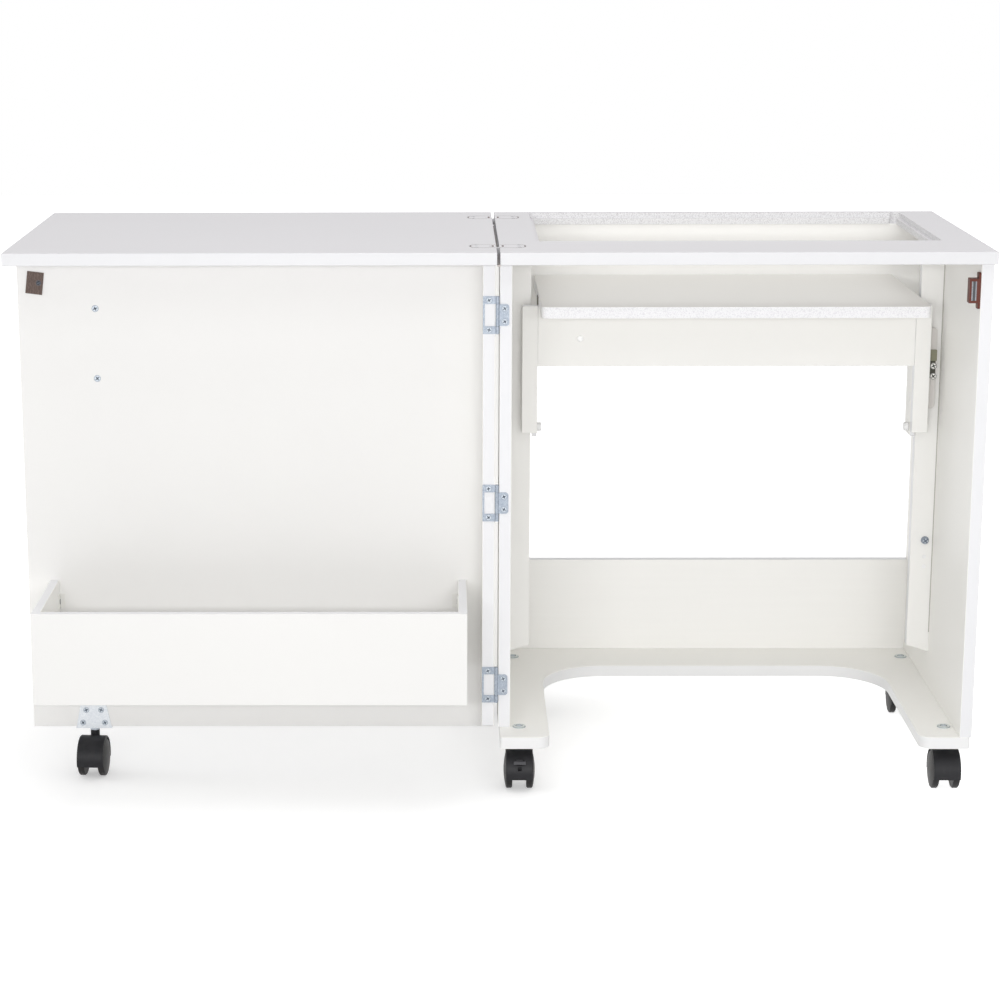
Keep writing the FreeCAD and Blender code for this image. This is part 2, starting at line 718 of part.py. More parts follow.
def make_lift_sides():
    """Fascias, side plates, carriages, glides and keepers, on both sides."""
    fascia = board_box((plate_inner_x, plate_inner_x + fascia_width), (fascia_front_y, fascia_back_y),
                       (fascia_bottom, fascia_top))
    low = fascia_bottom - plate_drop
    high = fascia_top - plate_drop
    back = fascia_front_y + plate_depth
    points = [V(plate_inner_x, fascia_back_y, low), V(plate_inner_x, back - plate_chamfer, low),
              V(plate_inner_x, back, low + plate_chamfer), V(plate_inner_x, back, high),
              V(plate_inner_x, fascia_back_y, high)]
    plate = prism(points, V(plate_thickness, 0, 0))
    plate = plate.makeChamfer(edge_ease, plate.Edges)
    slot_y = fascia_front_y + plate_slot_setback
    slot_z = fascia_bottom + plate_slot_rise
    slot = box((plate_inner_x - cut_overrun, plate_outer_x + cut_overrun),
               (slot_y - plate_slot_width / 2, slot_y + plate_slot_width / 2),
               (slot_z - plate_slot_height / 2, slot_z + plate_slot_height / 2))
    axis = knob_axis()
    stud_hole = rod(knob_stud_radius + knob_stud_play, axis, axis + V(plate_thickness, 0, 0))
    plate = without(plate, [slot, stud_hole])

    carriage_x = (plate_outer_x, room_right - carriage_wall_play)
    carriage_y = (fascia_back_y, fascia_back_y + carriage_thickness)
    carriage = box(carriage_x, carriage_y, (carriage_bottom, carriage_top))
    corners = [V(carriage_x[1], carriage_y[0], z) for z in (carriage_bottom, carriage_top)]
    carriage = round_edges(carriage, carriage_radius, V(0, 1, 0), corners)
    strip_x = (plate_inner_x + fascia_width + carriage_x[1]) / 2
    screw_points = [V(strip_x, carriage_y[0], carriage_bottom + rise) for rise in carriage_screw_rises]
    inward = V(0, 1, 0)
    seats = [screw_hole(point, inward, small_screw_head_radius) for point in screw_points]
    carriage = without(carriage, seats)

    glides = []
    glide_y = (carriage_y[1], post_front_y - glide_play)
    glide_x = (post_inner_x, post_inner_x + glide_width)
    for z in (carriage_bottom + glide_end_margin, carriage_top - glide_end_margin - glide_height):
        glides.append(box(glide_x, glide_y, (z, z + glide_height)))
    block_z = carriage_bottom + guide_block_rise
    block = box((strip_x - guide_block_width / 2, strip_x + guide_block_width / 2),
                (carriage_y[0] - guide_block_depth, carriage_y[0]),
                (block_z - guide_block_height / 2, block_z + guide_block_height / 2))
    glides.append(block)
    keeper_y = (post_back_y + glide_play, post_back_y + glide_play + keeper_depth)
    keeper = box((plate_outer_x, plate_outer_x + keeper_width), keeper_y, (carriage_bottom, carriage_top))
    behind = box((0, room_right), (glide_y[1], top_back_y), (0, top_under))
    heads = [screw(point, inward, small_screw_head_radius).cut(behind) for point in screw_points]

    for side, turn in (("right", lambda shape: shape), ("left", mirrored)):
        save("lift_fascia_" + side, [turn(fascia)])
        save("lift_side_plate_" + side, [turn(plate)])
    for node, solids in (("lift_carriages", [carriage]), ("lift_glides", glides), ("lift_keepers", [keeper]),
                         ("carriage_screws", heads)):
        save(node, solids + [mirrored(solid) for solid in solids])


def make_platform():
    """The machine shelf, the stretcher under it and the brackets that seat it on the side plates."""
    shelf = box(shelf_x, shelf_y, (shelf_under, shelf_top))
    fronts = [V(x, shelf_y[0], shelf_under) for x in shelf_x]
    shelf = round_edges(shelf, shelf_radius, V(0, 0, 1), fronts)
    save("platform_shelf", [ease_faces(shelf, (shelf_under, shelf_top))])
    stretcher_y = panel_front_y + stretcher_front
    far_x = 2 * room_middle - plate_inner_x
    stretcher = board_box((far_x, plate_inner_x), (stretcher_y, stretcher_y + board),
                          (shelf_under - stretcher_height, shelf_under))
    hole_start = V(room_left + stretcher_hole_x, stretcher_y, shelf_under - stretcher_hole_drop)
    hole = rod(stretcher_hole_radius, hole_start, hole_start + V(0, board, 0))
    save("lift_stretcher", [without(stretcher, [hole])])
    seat = fascia_top - plate_drop
    bracket_front = stretcher_y + board + shelf_bracket_setback
    bracket_y = (bracket_front, bracket_front + shelf_bracket_length)
    foot = box((shelf_x[1], plate_outer_x), bracket_y, (seat, seat + shelf_bracket_thickness))
    back_x = (shelf_x[1], shelf_x[1] + shelf_bracket_thickness)
    back = box(back_x, bracket_y, (seat, seat + shelf_bracket_height))
    bracket = foot.fuse(back).removeSplitter()
    save("shelf_brackets", [bracket, mirrored(bracket)])


def make_knobs():
    """The two lock knobs, each with its clamping stud."""
    axis = knob_axis()
    grip = rod(knob_radius, axis - V(knob_length + knob_stud_play, 0, 0), axis - V(knob_stud_play, 0, 0))
    grip = bevel_rims(grip, knob_bevel)
    tip = V(post_inner_x - knob_tip_gap, axis.y, axis.z)
    knob = grip.fuse(rod(knob_stud_radius, axis - V(knob_length / 2, 0, 0), tip)).removeSplitter()
    save("lock_knob_right", [knob])
    save("lock_knob_left", [mirrored(knob)])


def door_castor_place():
    """Swivel axis of the castor under the door."""
    return V(door_castor_x, (door_face_y + door_back_y) / 2, 0)


def castor_stem(place, top):
    """The fixed steel stem that a castor turns on, with its collar."""
    collar_low = boss_top + stem_collar_gap
    stem = rod(stem_radius, V(place.x, place.y, stem_bottom), V(place.x, place.y, top))
    collar = rod(stem_collar_radius, V(place.x, place.y, collar_low), V(place.x, place.y, base_under))
    return stem.fuse(collar).removeSplitter()


def stem_nut(place):
    """The flanged nut that holds a stem, seen on top of the base plate."""
    low = V(place.x, place.y, base_under)
    face = V(place.x, place.y, base_height)
    high = V(place.x, place.y, base_height + nut_thickness)
    nut = rod(nut_barrel_radius, low, face).fuse(rod(nut_radius, face, high))
    return nut.cut(rod(stem_radius, low, high)).removeSplitter()


def brake_pivot(place):
    """Middle of the brake tab's pivot pin."""
    return V(place.x, place.y - castor_trail - brake_pivot_back, wheel_radius + brake_pivot_rise)


def castor_hood(place, braked):
    """The hood of one castor: a round cover over both wheels, a web between them and the swivel boss."""
    axle = V(place.x, place.y - castor_trail, wheel_radius)
    half = V(hood_width / 2, 0, 0)
    web = V(castor_web / 2, 0, 0)
    hood = bevel_rims(rod(hood_radius, axle - half, axle + half), hood_bevel)
    boss = rod(boss_radius, V(place.x, place.y, boss_bottom), V(place.x, place.y, boss_top))
    hood = hood.fuse(boss)
    inside = wheel_radius + hood_play
    below = box((axle.x - hood_width, axle.x + hood_width), (axle.y - top_depth, axle.y + top_depth),
                (-top_height, axle.z - hood_skirt_drop))
    bore = rod(stem_radius + stem_play, V(place.x, place.y, stem_bottom - cut_overrun),
               V(place.x, place.y, boss_top))
    cutters = [rod(inside, axle + web, axle + half), rod(inside, axle - web, axle - half), below, bore,
               rod(axle_radius + stem_play, axle - half, axle + half)]
    if braked:
        pivot = brake_pivot(place)
        swing = math.radians(brake_swing_degrees)
        reach = brake_arm_length
        room = brake_tab_thickness / 2 + brake_play
        fall = reach * math.sin(swing) + room
        side = V(brake_arm_width / 2 + brake_play, 0, 0)
        cutters.append(box((pivot.x - side.x, pivot.x + side.x), (pivot.y - reach, pivot.y),
                           (pivot.z - fall, pivot.z + room)))
        cutters.append(rod(brake_eye_radius + brake_play, pivot - side, pivot + side))
        hole = hood_hole / 2
        front = axle.y - hood_radius
        hole_z = axle.z + hood_hole_rise_share * hood_radius
        cutters.append(box((axle.x - hole, axle.x + hole), (front - cut_overrun, front + hood_hole_depth),
                           (hole_z - hole, hole_z + hole)))
    hood = without(hood, cutters)
    if braked:
        hood = hood.fuse(rod(brake_pin_radius, pivot - side, pivot + side)).removeSplitter()
    return hood


def brake_tab(place):
    """The foot tab of the braked castor, with an eye round its pivot."""
    pivot = brake_pivot(place)
    side = V(brake_arm_width / 2, 0, 0)
    half = brake_tab_thickness / 2
    tip_y = pivot.y - brake_arm_length
    arm = box((pivot.x - side.x, pivot.x + side.x), (tip_y, pivot.y), (pivot.z - half, pivot.z + half))
    lip_x = (pivot.x - brake_tab_width / 2, pivot.x + brake_tab_width / 2)
    lip = box(lip_x, (tip_y - brake_tab_thickness, tip_y), (pivot.z - half, pivot.z + half))
    eye = rod(brake_eye_radius, pivot - side, pivot + side)
    hole = rod(brake_pin_radius + stem_play, pivot - side, pivot + side)
    return without(arm.fuse(lip).fuse(eye), [hole])


def castor_wheel(near, side):
    """One wheel with a domed outer face, turned about the axle from its inner face outwards."""
    out = V(side, 0, 0)
    up = V(0, 0, 1)
    rim = wheel_radius - wheel_bevel
    ball = (rim ** 2 + wheel_dome ** 2) / (2 * wheel_dome)
    half_rise = math.sqrt(ball ** 2 - (rim / 2) ** 2) - (ball - wheel_dome)
    crown = near + out * (wheel_width + wheel_dome)
    shoulder = near + out * wheel_width + up * rim
    points = [crown, near, near + up * rim, near + out * wheel_bevel + up * wheel_radius,
              near + out * (wheel_width - wheel_bevel) + up * wheel_radius, shoulder]
    edges = [Part.makeLine(start, end) for start, end in zip(points, points[1:])]
    edges.append(Part.Arc(shoulder, near + out * (wheel_width + half_rise) + up * (rim / 2), crown).toShape())
    wheel = Part.Face(Part.Wire(edges)).revolve(near, V(1, 0, 0), 360)
    return without(wheel, [rod(axle_radius, near, near + out * wheel_width)])


def castor_wheels(place):
    """Two wheels on one steel axle."""
    axle = V(place.x, place.y - castor_trail, wheel_radius)
    inner = castor_web / 2 + castor_web_play
    wheels = [castor_wheel(axle + V(side * inner, 0, 0), side) for side in (-1, 1)]
    reach = V(inner + wheel_width, 0, 0)
    return wheels + [rod(axle_radius, axle - reach, axle + reach)]


def make_castors():
    """Five castors with their stems, nuts, hoods and wheels."""
    places = base_castor_places()
    save("base_castor_stems", [castor_stem(place, base_height + nut_thickness) for place in places.values()])
    save("base_stem_nuts", [stem_nut(place) for place in places.values()])
    save("door_castor_stem", [castor_stem(door_castor_place(), door_bottom)])
    places["door"] = door_castor_place()
    for name, place in places.items():
        braked = name == "front_left"
        hood = castor_hood(place, braked)
        wheels = castor_wheels(place)
        if name == "door":
            for shape in [hood] + wheels:
                shape.rotate(place, V(0, 0, 1), door_castor_turn_degrees)
        save("castor_hood_" + name, [hood])
        save("castor_wheels_" + name, wheels)
        if braked:
            save("castor_brake_tab", [brake_tab(place)])


make_tops()
make_base_plate()
make_carcass()
make_catch()
make_door_hinges()
make_door()
make_bin()
make_posts()
make_lift_sides()
make_platform()
make_knobs()
make_castors()
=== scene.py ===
import math

import bmesh
import bpy
from mathutils import Matrix, Vector


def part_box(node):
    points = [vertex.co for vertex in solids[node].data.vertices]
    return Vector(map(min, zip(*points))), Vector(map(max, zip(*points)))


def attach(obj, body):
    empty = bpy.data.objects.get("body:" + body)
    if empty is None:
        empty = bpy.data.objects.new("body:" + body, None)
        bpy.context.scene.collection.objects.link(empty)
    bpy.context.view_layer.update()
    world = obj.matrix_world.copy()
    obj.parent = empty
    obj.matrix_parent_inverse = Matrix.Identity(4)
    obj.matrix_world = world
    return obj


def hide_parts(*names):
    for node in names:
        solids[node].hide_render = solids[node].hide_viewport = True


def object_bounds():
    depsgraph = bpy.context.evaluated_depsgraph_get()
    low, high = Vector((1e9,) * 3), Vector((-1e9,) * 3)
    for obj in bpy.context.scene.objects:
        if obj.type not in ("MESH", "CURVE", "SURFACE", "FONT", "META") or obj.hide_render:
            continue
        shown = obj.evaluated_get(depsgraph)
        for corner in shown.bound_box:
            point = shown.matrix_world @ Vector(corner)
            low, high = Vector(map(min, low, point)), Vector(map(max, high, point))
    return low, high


# A sewing machine cabinet of white melamine boards with zinc hinges and black castors.
# Lengths are in metres, in the frame of the solids.

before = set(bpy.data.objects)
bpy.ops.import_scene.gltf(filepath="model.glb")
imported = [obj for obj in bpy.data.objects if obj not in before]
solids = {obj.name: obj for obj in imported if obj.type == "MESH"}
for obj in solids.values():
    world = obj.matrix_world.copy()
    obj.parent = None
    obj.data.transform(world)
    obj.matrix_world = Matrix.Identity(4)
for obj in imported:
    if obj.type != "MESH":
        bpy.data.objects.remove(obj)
cad_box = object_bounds()
scene = bpy.context.scene
scene.view_settings.view_transform = "Standard"

# Camera, in the photograph's square frame
frame_pixels = 1000
focal_pixels = 2637.7
principal_pixel = (417.9, 565.7)
sensor_millimetres = 36
camera_place = Vector((-0.07195, -3.74134, 1.20974))
camera_pitch_degrees = 13.869
camera_yaw_degrees = 0.612
camera_roll_degrees = -0.183

# Light levels; a soft box is its place, width, height and power
sky_strength = 0.56
soft_boxes = {
    "camera soft box": (Vector((-0.15, -4.1, 1.25)), 3.2, 0.3, 63),
    "high front soft box": (Vector((0.3, -2.6, 2.4)), 3.0, 1.0, 8),
    "ceiling soft box": (Vector((0.0, -0.6, 3.2)), 3.0, 2.4, 21),
    "left soft box": (Vector((-2.6, 0.35, 0.4)), 0.7, 0.6, 14),
}
floor_size = 16
floor_bounce = 0.85
floor_shade = 0.8
# The floor's glow is weaker near the shade centre: painted shade round the cabinet, added to its real shadow
floor_glow = 0.36
shade_centre = (-0.35, 0.0, 0.0)
glow_reach = (0.35, 1.2)

# Ways a piece can face
face_up = (0, 0, 1)
face_front = (0, -1, 0)
face_left = (-1, 0, 0)

# Boards: noise in cells per metre, relief in metres, the rest as shares
pearl_scale = 1500
pearl_tone = 0.02
pearl_gloss = 0.05
cloud_scale = 5
cloud_tone = 0.012
board_tone = 0.99
face_slope = 0.7
band_roughness = 0.36
face_roughness = 0.44
board_bump = 0.12
fine_relief = 0.0002
rail_streak = (1, 1, 40)
base_specks = 0.035
speck_scale = 70.0
speck_radius = 0.055
speck_strength = 0.4

# Sawn edges
opening_rim = 0.016
opening_cover = 0.14
shelf_cover = 0.2
chip_scale = 620.0
chip_end = 0.46
grit_scale = 900
raw_roughness = 0.2
raw_bump = 0.5
raw_relief = 0.0006

# Metals and plastics
zinc_scale = 900.0
pole_scale = 1500.0
screw_scale = 1200.0
smear_scale = 260
spangle_range = (0.05, 0.5)
zinc_roughness = (0.42, 0.6)
zinc_metal = 0.45
screw_metal = (0.4, 0.1)
zinc_bump = 0.15
smooth_bump = 0.1
lacquer_scale = 1200.0
plastic_scale = 2400.0
smooth_scale = 1600.0
magnet_scale = 1800.0
wheel_scale = 3000.0
wheel_bump = 0.2
plastic_bump = 0.25
plastic_roughness = (0.36, 0.56)
plain_gloss = 0.5
catch_gloss = 0.3
castor_gloss = 0.25
strip_gloss = 0.2
scuff_scale = 60
scuff_strength = 0.5
scuff_range = (0.5, 0.85)
scuff_light = 0.025
rub_wave = {"Scale": 90.0, "Distortion": 9.0, "Detail": 3.0, "Detail Scale": 2.5}
rub_range = (0.6, 1.0)
mottle_scale = 300
striker_roughness = (0.35, 0.6)
striker_metal = 0.35
striker_bump = 0.2

# Screws, nuts and plugs
cross_width_share = 0.34
cross_length_share = 1.3
cross_depth = 0.0012
ring_shade = 0.7
spin_seed = 4
countersink = 0.0012
crown_rise = 0.00015
crown_share = 0.86
pan_shoulder_share = 0.9
pan_crown_share = 0.62
pan_height = 0.0055
pan_shoulder_height = 0.0032
nut_bore_radius = 0.0052
nut_prong_reach_share = 0.76
nut_prong_size = (0.0024, 0.0011)
nut_edge_share = 0.93
plug_bore_share = 0.125
plug_prong_share = 2
round_sides = 32
hinge_screw_spread = 0.0006
carriage_screw_spread = 0.0022
carriage_crown_share = 0.76
carriage_screw_stand = 0.0016
bin_bracket_thickness = 0.0015
bin_screw_radius = 0.0042

# Link hinges: a dark rim of painted shade round their plates for the gap they sit in, and painted shade in
# the slots over their pins
hinge_plate_half = 0.019
hinge_plate_round = 0.014
hinge_rim = 0.0018
pin_recess = 0.0028
pin_slot_half = 0.008

# Carriages of the lift, and the magnet in the catch
carriage_hide = 0.001
carriage_reach = 0.0115
carriage_round = 0.006
guide_round = 0.001
guide_foot_inset = 0.001
guide_foot_rise = 0.007
guide_foot_stand = 0.0008
magnet_recess = 0.0003
magnet_round = 0.0006
corner_steps = 6

# Painted shade of the joint beside the right post, strip in the gap beside the leaf, and plug in the
# stretcher
joint_width = 0.0012
joint_depth = 0.0003
joint_end_gap = 0.03
strip_width = 0.005
strip_height = 0.0017
strip_round = 0.0005
strip_front_gap = 0.002
strip_back_gap = 0.03
cap_search = 0.006
touching = 1e-5
cap_profile = ((0.9, -0.008), (0.94, -0.0005), (0.97, 0.0), (0.9, 0.0008), (0.6, 0.0012), (0.2, 0.0014))


def srgb(red, green, blue):
    """A colour as seen on a screen, from 0 to 255, as linear light."""
    channels = []
    for value in (red, green, blue):
        value = value / 255
        channels.append(value / 12.92 if value <= 0.04045 else ((value + 0.055) / 1.055) ** 2.4)
    return (*channels, 1.0)


# Colours
melamine_face = srgb(235, 234, 232)
# Lighter copies of the white melamine for the boards inside the cabinet and the lift: painted light that
# offsets the shade they stand in
inner_face_painted_light = srgb(252, 251, 247)
lift_face_painted_light = srgb(241, 240, 237)
melamine_band = srgb(234, 234, 236)
top_band = srgb(225, 225, 227)
# Lighter copies of the band and the face for the base and the rails: painted light against the shade they
# stand in
base_band_painted_light = srgb(238, 238, 238)
rail_face_painted_light = srgb(248, 247, 244)
top_face = srgb(224, 222, 225)
shelf_face = srgb(232, 230, 225)
raw_white = srgb(246, 246, 247)
sawn_white = srgb(236, 236, 237)
raw_grey = srgb(206, 204, 206)
shelf_grey = srgb(230, 229, 232)
zinc_light = srgb(176, 184, 194)
zinc_dark = srgb(141, 151, 165)
bracket_light = srgb(226, 229, 232)
bracket_dark = srgb(208, 213, 219)
screw_light = srgb(206, 213, 220)
screw_dark = srgb(184, 193, 203)
# Dark recess colour of screws: painted shade in their crosses and round their rims
screw_recess_shade = srgb(112, 122, 136)
nut_light = srgb(238, 242, 240)
nut_dark = srgb(218, 224, 222)
# Dark recess colour of nuts: painted shade in their bores, prong slots and sides
nut_recess_shade = srgb(142, 152, 156)
carriage_screw_light = srgb(250, 249, 246)
carriage_screw_dark = srgb(236, 234, 230)
# Dark recess colour of the carriage screws: painted shade in their crosses and round their rims
carriage_recess_shade = srgb(46, 44, 36)
brass_light = srgb(190, 158, 108)
brass_dark = srgb(150, 116, 74)
black_light = srgb(52, 46, 44)
black_dark = srgb(34, 30, 29)
pole_light = srgb(162, 163, 168)
pole_dark = srgb(120, 122, 128)
magnet_grey = srgb(58, 60, 64)
striker_brown = srgb(72, 57, 51)
striker_mark = srgb(112, 96, 87)
catch_brown = srgb(94, 43, 32)
nylon_olive = srgb(128, 126, 104)
bracket_olive = srgb(112, 108, 97)
carriage_grey = srgb(212, 208, 204)
gap_brown = srgb(200, 192, 188)
# Painted shade for the gap beside the right post
joint_shade_grey = srgb(176, 173, 166)
# Painted shade: the pin recesses of the hinges, and the gap round the hinge plates
pin_recess_shade = srgb(92, 72, 64)
plate_gap_shade = srgb(128, 119, 117)
# A dark copy of the guide nylon: painted shade for the foot of the guide
nylon_in_shade = srgb(62, 62, 50)
knob_white = srgb(240, 240, 240)
bin_bracket_white = srgb(231, 230, 226)
cap_white = srgb(255, 255, 255)
castor_black = srgb(33, 33, 36)
castor_grey = srgb(33, 31, 31)
tab_grey = srgb(80, 80, 83)
dust_grey = srgb(120, 116, 110)


def feed(tree, socket, value):
    """Link an input to another node's output, or set its value."""
    if isinstance(value, bpy.types.NodeSocket):
        tree.links.new(value, socket)
    else:
        socket.default_value = value


def add_node(tree, kind, inputs=None, **settings):
    """A new node in a tree, with its settings made and its inputs linked or set."""
    made = tree.nodes.new(kind)
    for name, value in settings.items():
        setattr(made, name, value)
    for name, value in (inputs or {}).items():
        feed(tree, made.inputs[name], value)
    return made


def mix_colours(tree, share, first, second, blend="MIX"):
    """The colour between two colours."""
    mix = add_node(tree, "ShaderNodeMix", data_type="RGBA", blend_type=blend)
    for index, value in ((0, share), (6, first), (7, second)):
        feed(tree, mix.inputs[index], value)
    return mix.outputs[2]


def math_node(tree, operation, first, second=0.0):
    """The result of one sum on values or sockets."""
    return add_node(tree, "ShaderNodeMath", {0: first, 1: second}, operation=operation).outputs[0]


def vector_node(tree, operation, *operands):
    """The results of one sum on vectors."""
    return add_node(tree, "ShaderNodeVectorMath", dict(enumerate(operands)), operation=operation).outputs


def axes_of(tree, vector):
    """The X, Y and Z of a vector."""
    return add_node(tree, "ShaderNodeSeparateXYZ", {"Vector": vector}).outputs


def object_place(tree):
    """Where a point lies in its piece's own frame, which is the frame of the solids."""
    return tree.nodes.new("ShaderNodeTexCoord").outputs["Object"]


def away_from(tree, value, place):
    """How far a value is from a place, to either side."""
    return math_node(tree, "ABSOLUTE", math_node(tree, "SUBTRACT", value, place))


def remap(tree, value, low, high, start=0.0, end=1.0):
    """A value moved from one range to another."""
    inputs = {"Value": value, "From Min": start, "From Max": end, "To Min": low, "To Max": high}
    return add_node(tree, "ShaderNodeMapRange", inputs).outputs["Result"]


def noise(tree, vector, scale, detail=2.0):
    """Soft noise over a vector."""
    inputs = {"Vector": vector, "Scale": scale, "Detail": detail}
    return add_node(tree, "ShaderNodeTexNoise", inputs).outputs["Fac"]


def new_group(name, inputs, outputs):
    """An empty shader group with named sockets, and its two end nodes."""
    group = bpy.data.node_groups.new(name, "ShaderNodeTree")
    for label, kind, value in inputs:
        socket = group.interface.new_socket(label, in_out="INPUT", socket_type="NodeSocket" + kind)
        socket.default_value = value
    for label, kind in outputs:
        group.interface.new_socket(label, in_out="OUTPUT", socket_type="NodeSocket" + kind)
    return group, group.nodes.new("NodeGroupInput"), group.nodes.new("NodeGroupOutput")


def end_group(group, end, results):
    """A finished group, with its results linked to its outputs."""
    for label, value in results.items():
        group.links.new(value, end.inputs[label])
    return group


surface_outputs = [("Color", "Color"), ("Roughness", "Float"), ("Height", "Float")]


def board_group():
    """Melamine on a board's faces and its smoother band on the edges, with a fine pearl in both."""
    inputs = [("Thin", "Vector", (0, 0, 1)), ("Face", "Color", melamine_face),
              ("Band", "Color", melamine_band), ("Streak", "Vector", (1, 1, 1))]
    group, start, end = new_group("melamine board", inputs, surface_outputs)
    place = group.nodes.new("ShaderNodeTexCoord").outputs
    along = vector_node(group, "DOT_PRODUCT", place["Normal"], start.outputs["Thin"])["Value"]
    on_face = math_node(group, "GREATER_THAN", math_node(group, "ABSOLUTE", along), face_slope)
    colour = mix_colours(group, on_face, start.outputs["Band"], start.outputs["Face"])
    streak = vector_node(group, "MULTIPLY", place["Object"], start.outputs["Streak"])["Vector"]
    pearl = noise(group, place["Object"], pearl_scale)
    cloud = noise(group, streak, cloud_scale, 4)
    tone = math_node(group, "ADD", remap(group, pearl, -pearl_tone, pearl_tone),
                     remap(group, cloud, -cloud_tone, cloud_tone))
    level = math_node(group, "ADD", tone, board_tone)
    grey = add_node(group, "ShaderNodeCombineColor", {"Red": level, "Green": level, "Blue": level})
    toned = mix_colours(group, 1.0, colour, grey.outputs[0], "MULTIPLY")
    rough = math_node(group, "ADD", remap(group, pearl, -pearl_gloss, pearl_gloss),
                      remap(group, on_face, band_roughness, face_roughness))
    height = math_node(group, "MULTIPLY", pearl, on_face)
    return end_group(group, end, {"Color": toned, "Roughness": rough, "Height": height})


def speck_group():
    """Sparse dust specks over a colour."""
    inputs = [("Color", "Color", melamine_face), ("Amount", "Float", base_specks)]
    group, start, end = new_group("dust specks", inputs, [("Color", "Color")])
    cells = add_node(group, "ShaderNodeTexVoronoi", {"Vector": object_place(group), "Scale": speck_scale})
    few = math_node(group, "LESS_THAN", cells.outputs["Color"], start.outputs["Amount"])
    small = math_node(group, "LESS_THAN", cells.outputs["Distance"], speck_radius)
    dots = math_node(group, "MULTIPLY", math_node(group, "MULTIPLY", few, small), speck_strength)
    return end_group(group, end, {"Color": mix_colours(group, dots, start.outputs["Color"], dust_grey)})


def raw_edge_group():
    """A sawn board edge under thin white paint: pale, with dark chips that the cover leaves open."""
    inputs = [("Light", "Color", raw_white), ("Dark", "Color", raw_grey), ("Cover", "Float", shelf_cover)]
    group, start, end = new_group("painted raw edge", inputs, [("Color", "Color"), ("Height", "Float")])
    place = object_place(group)
    chips = add_node(group, "ShaderNodeTexVoronoi", {"Vector": place, "Scale": chip_scale})
    grit = noise(group, place, grit_scale, 4)
    rough = math_node(group, "MULTIPLY", chips.outputs["Distance"], grit)
    share = remap(group, rough, 0.0, 1.0, start.outputs["Cover"], chip_end)
    colour = mix_colours(group, share, start.outputs["Light"], start.outputs["Dark"])
    return end_group(group, end, {"Color": colour, "Height": grit})


def zinc_group():
    """Bright zinc: cool spangles that differ in tone and gloss."""
    inputs = [("Light", "Color", zinc_light), ("Dark", "Color", zinc_dark), ("Scale", "Float", zinc_scale)]
    group, start, end = new_group("zinc spangle", inputs, surface_outputs)
    place = object_place(group)
    spangles = {"Vector": place, "Scale": start.outputs["Scale"]}
    cells = add_node(group, "ShaderNodeTexVoronoi", spangles)
    smear = noise(group, place, smear_scale, 4)
    share = math_node(group, "MULTIPLY", cells.outputs["Color"], smear)
    share = remap(group, share, 0.0, 1.0, *spangle_range)
    colour = mix_colours(group, share, start.outputs["Dark"], start.outputs["Light"])
    rough = remap(group, smear, *zinc_roughness)
    return end_group(group, end, {"Color": colour, "Roughness": rough, "Height": smear})


def grain_group():
    """The fine grain of a moulded plastic."""
    inputs = [("Color", "Color", castor_black), ("Scale", "Float", plastic_scale)]
    group, start, end = new_group("moulded grain", inputs, surface_outputs)
    place = object_place(group)
    grain = noise(group, place, start.outputs["Scale"], 3)
    scuff = noise(group, place, scuff_scale, 5)
    lighter = mix_colours(group, scuff_light, start.outputs["Color"], (1, 1, 1, 1))
    share = remap(group, scuff, 0.0, scuff_strength, *scuff_range)
    colour = mix_colours(group, share, start.outputs["Color"], lighter)
    rough = remap(group, scuff, *plastic_roughness)
    return end_group(group, end, {"Color": colour, "Roughness": rough, "Height": grain})


groups = {"board": board_group(), "specks": speck_group(), "raw edge": raw_edge_group(),
          "zinc": zinc_group(), "grain": grain_group()}


def new_material(name):
    """A material with its node tree and shader."""
    material = bpy.data.materials.new(name)
    material.use_nodes = True
    tree = material.node_tree
    return material, tree, tree.nodes["Principled BSDF"]


def place_group(tree, name, inputs):
    """One of the shared effects, placed in a material."""
    return add_node(tree, "ShaderNodeGroup", inputs, node_tree=groups[name]).outputs


def set_surface(tree, shader, colour, roughness, height, strength, relief=fine_relief):
    """Colour, roughness and relief of a material."""
    tree.links.new(colour, shader.inputs["Base Color"])
    tree.links.new(roughness, shader.inputs["Roughness"])
    bump = add_node(tree, "ShaderNodeBump", {"Height": height, "Distance": relief, "Strength": strength})
    tree.links.new(bump.outputs["Normal"], shader.inputs["Normal"])


def board_material(name, thin, face=melamine_face, band=melamine_band, streak=(1, 1, 1), specks=0.0):
    """Melamine faced board whose thickness runs along the thin axis."""
    material, tree, shader = new_material(name)
    board = place_group(tree, "board", {"Thin": thin, "Face": face, "Band": band, "Streak": streak})
    colour = board["Color"]
    if specks:
        colour = place_group(tree, "specks", {"Color": colour, "Amount": specks})["Color"]
    set_surface(tree, shader, colour, board["Roughness"], board["Height"], board_bump)
    return material


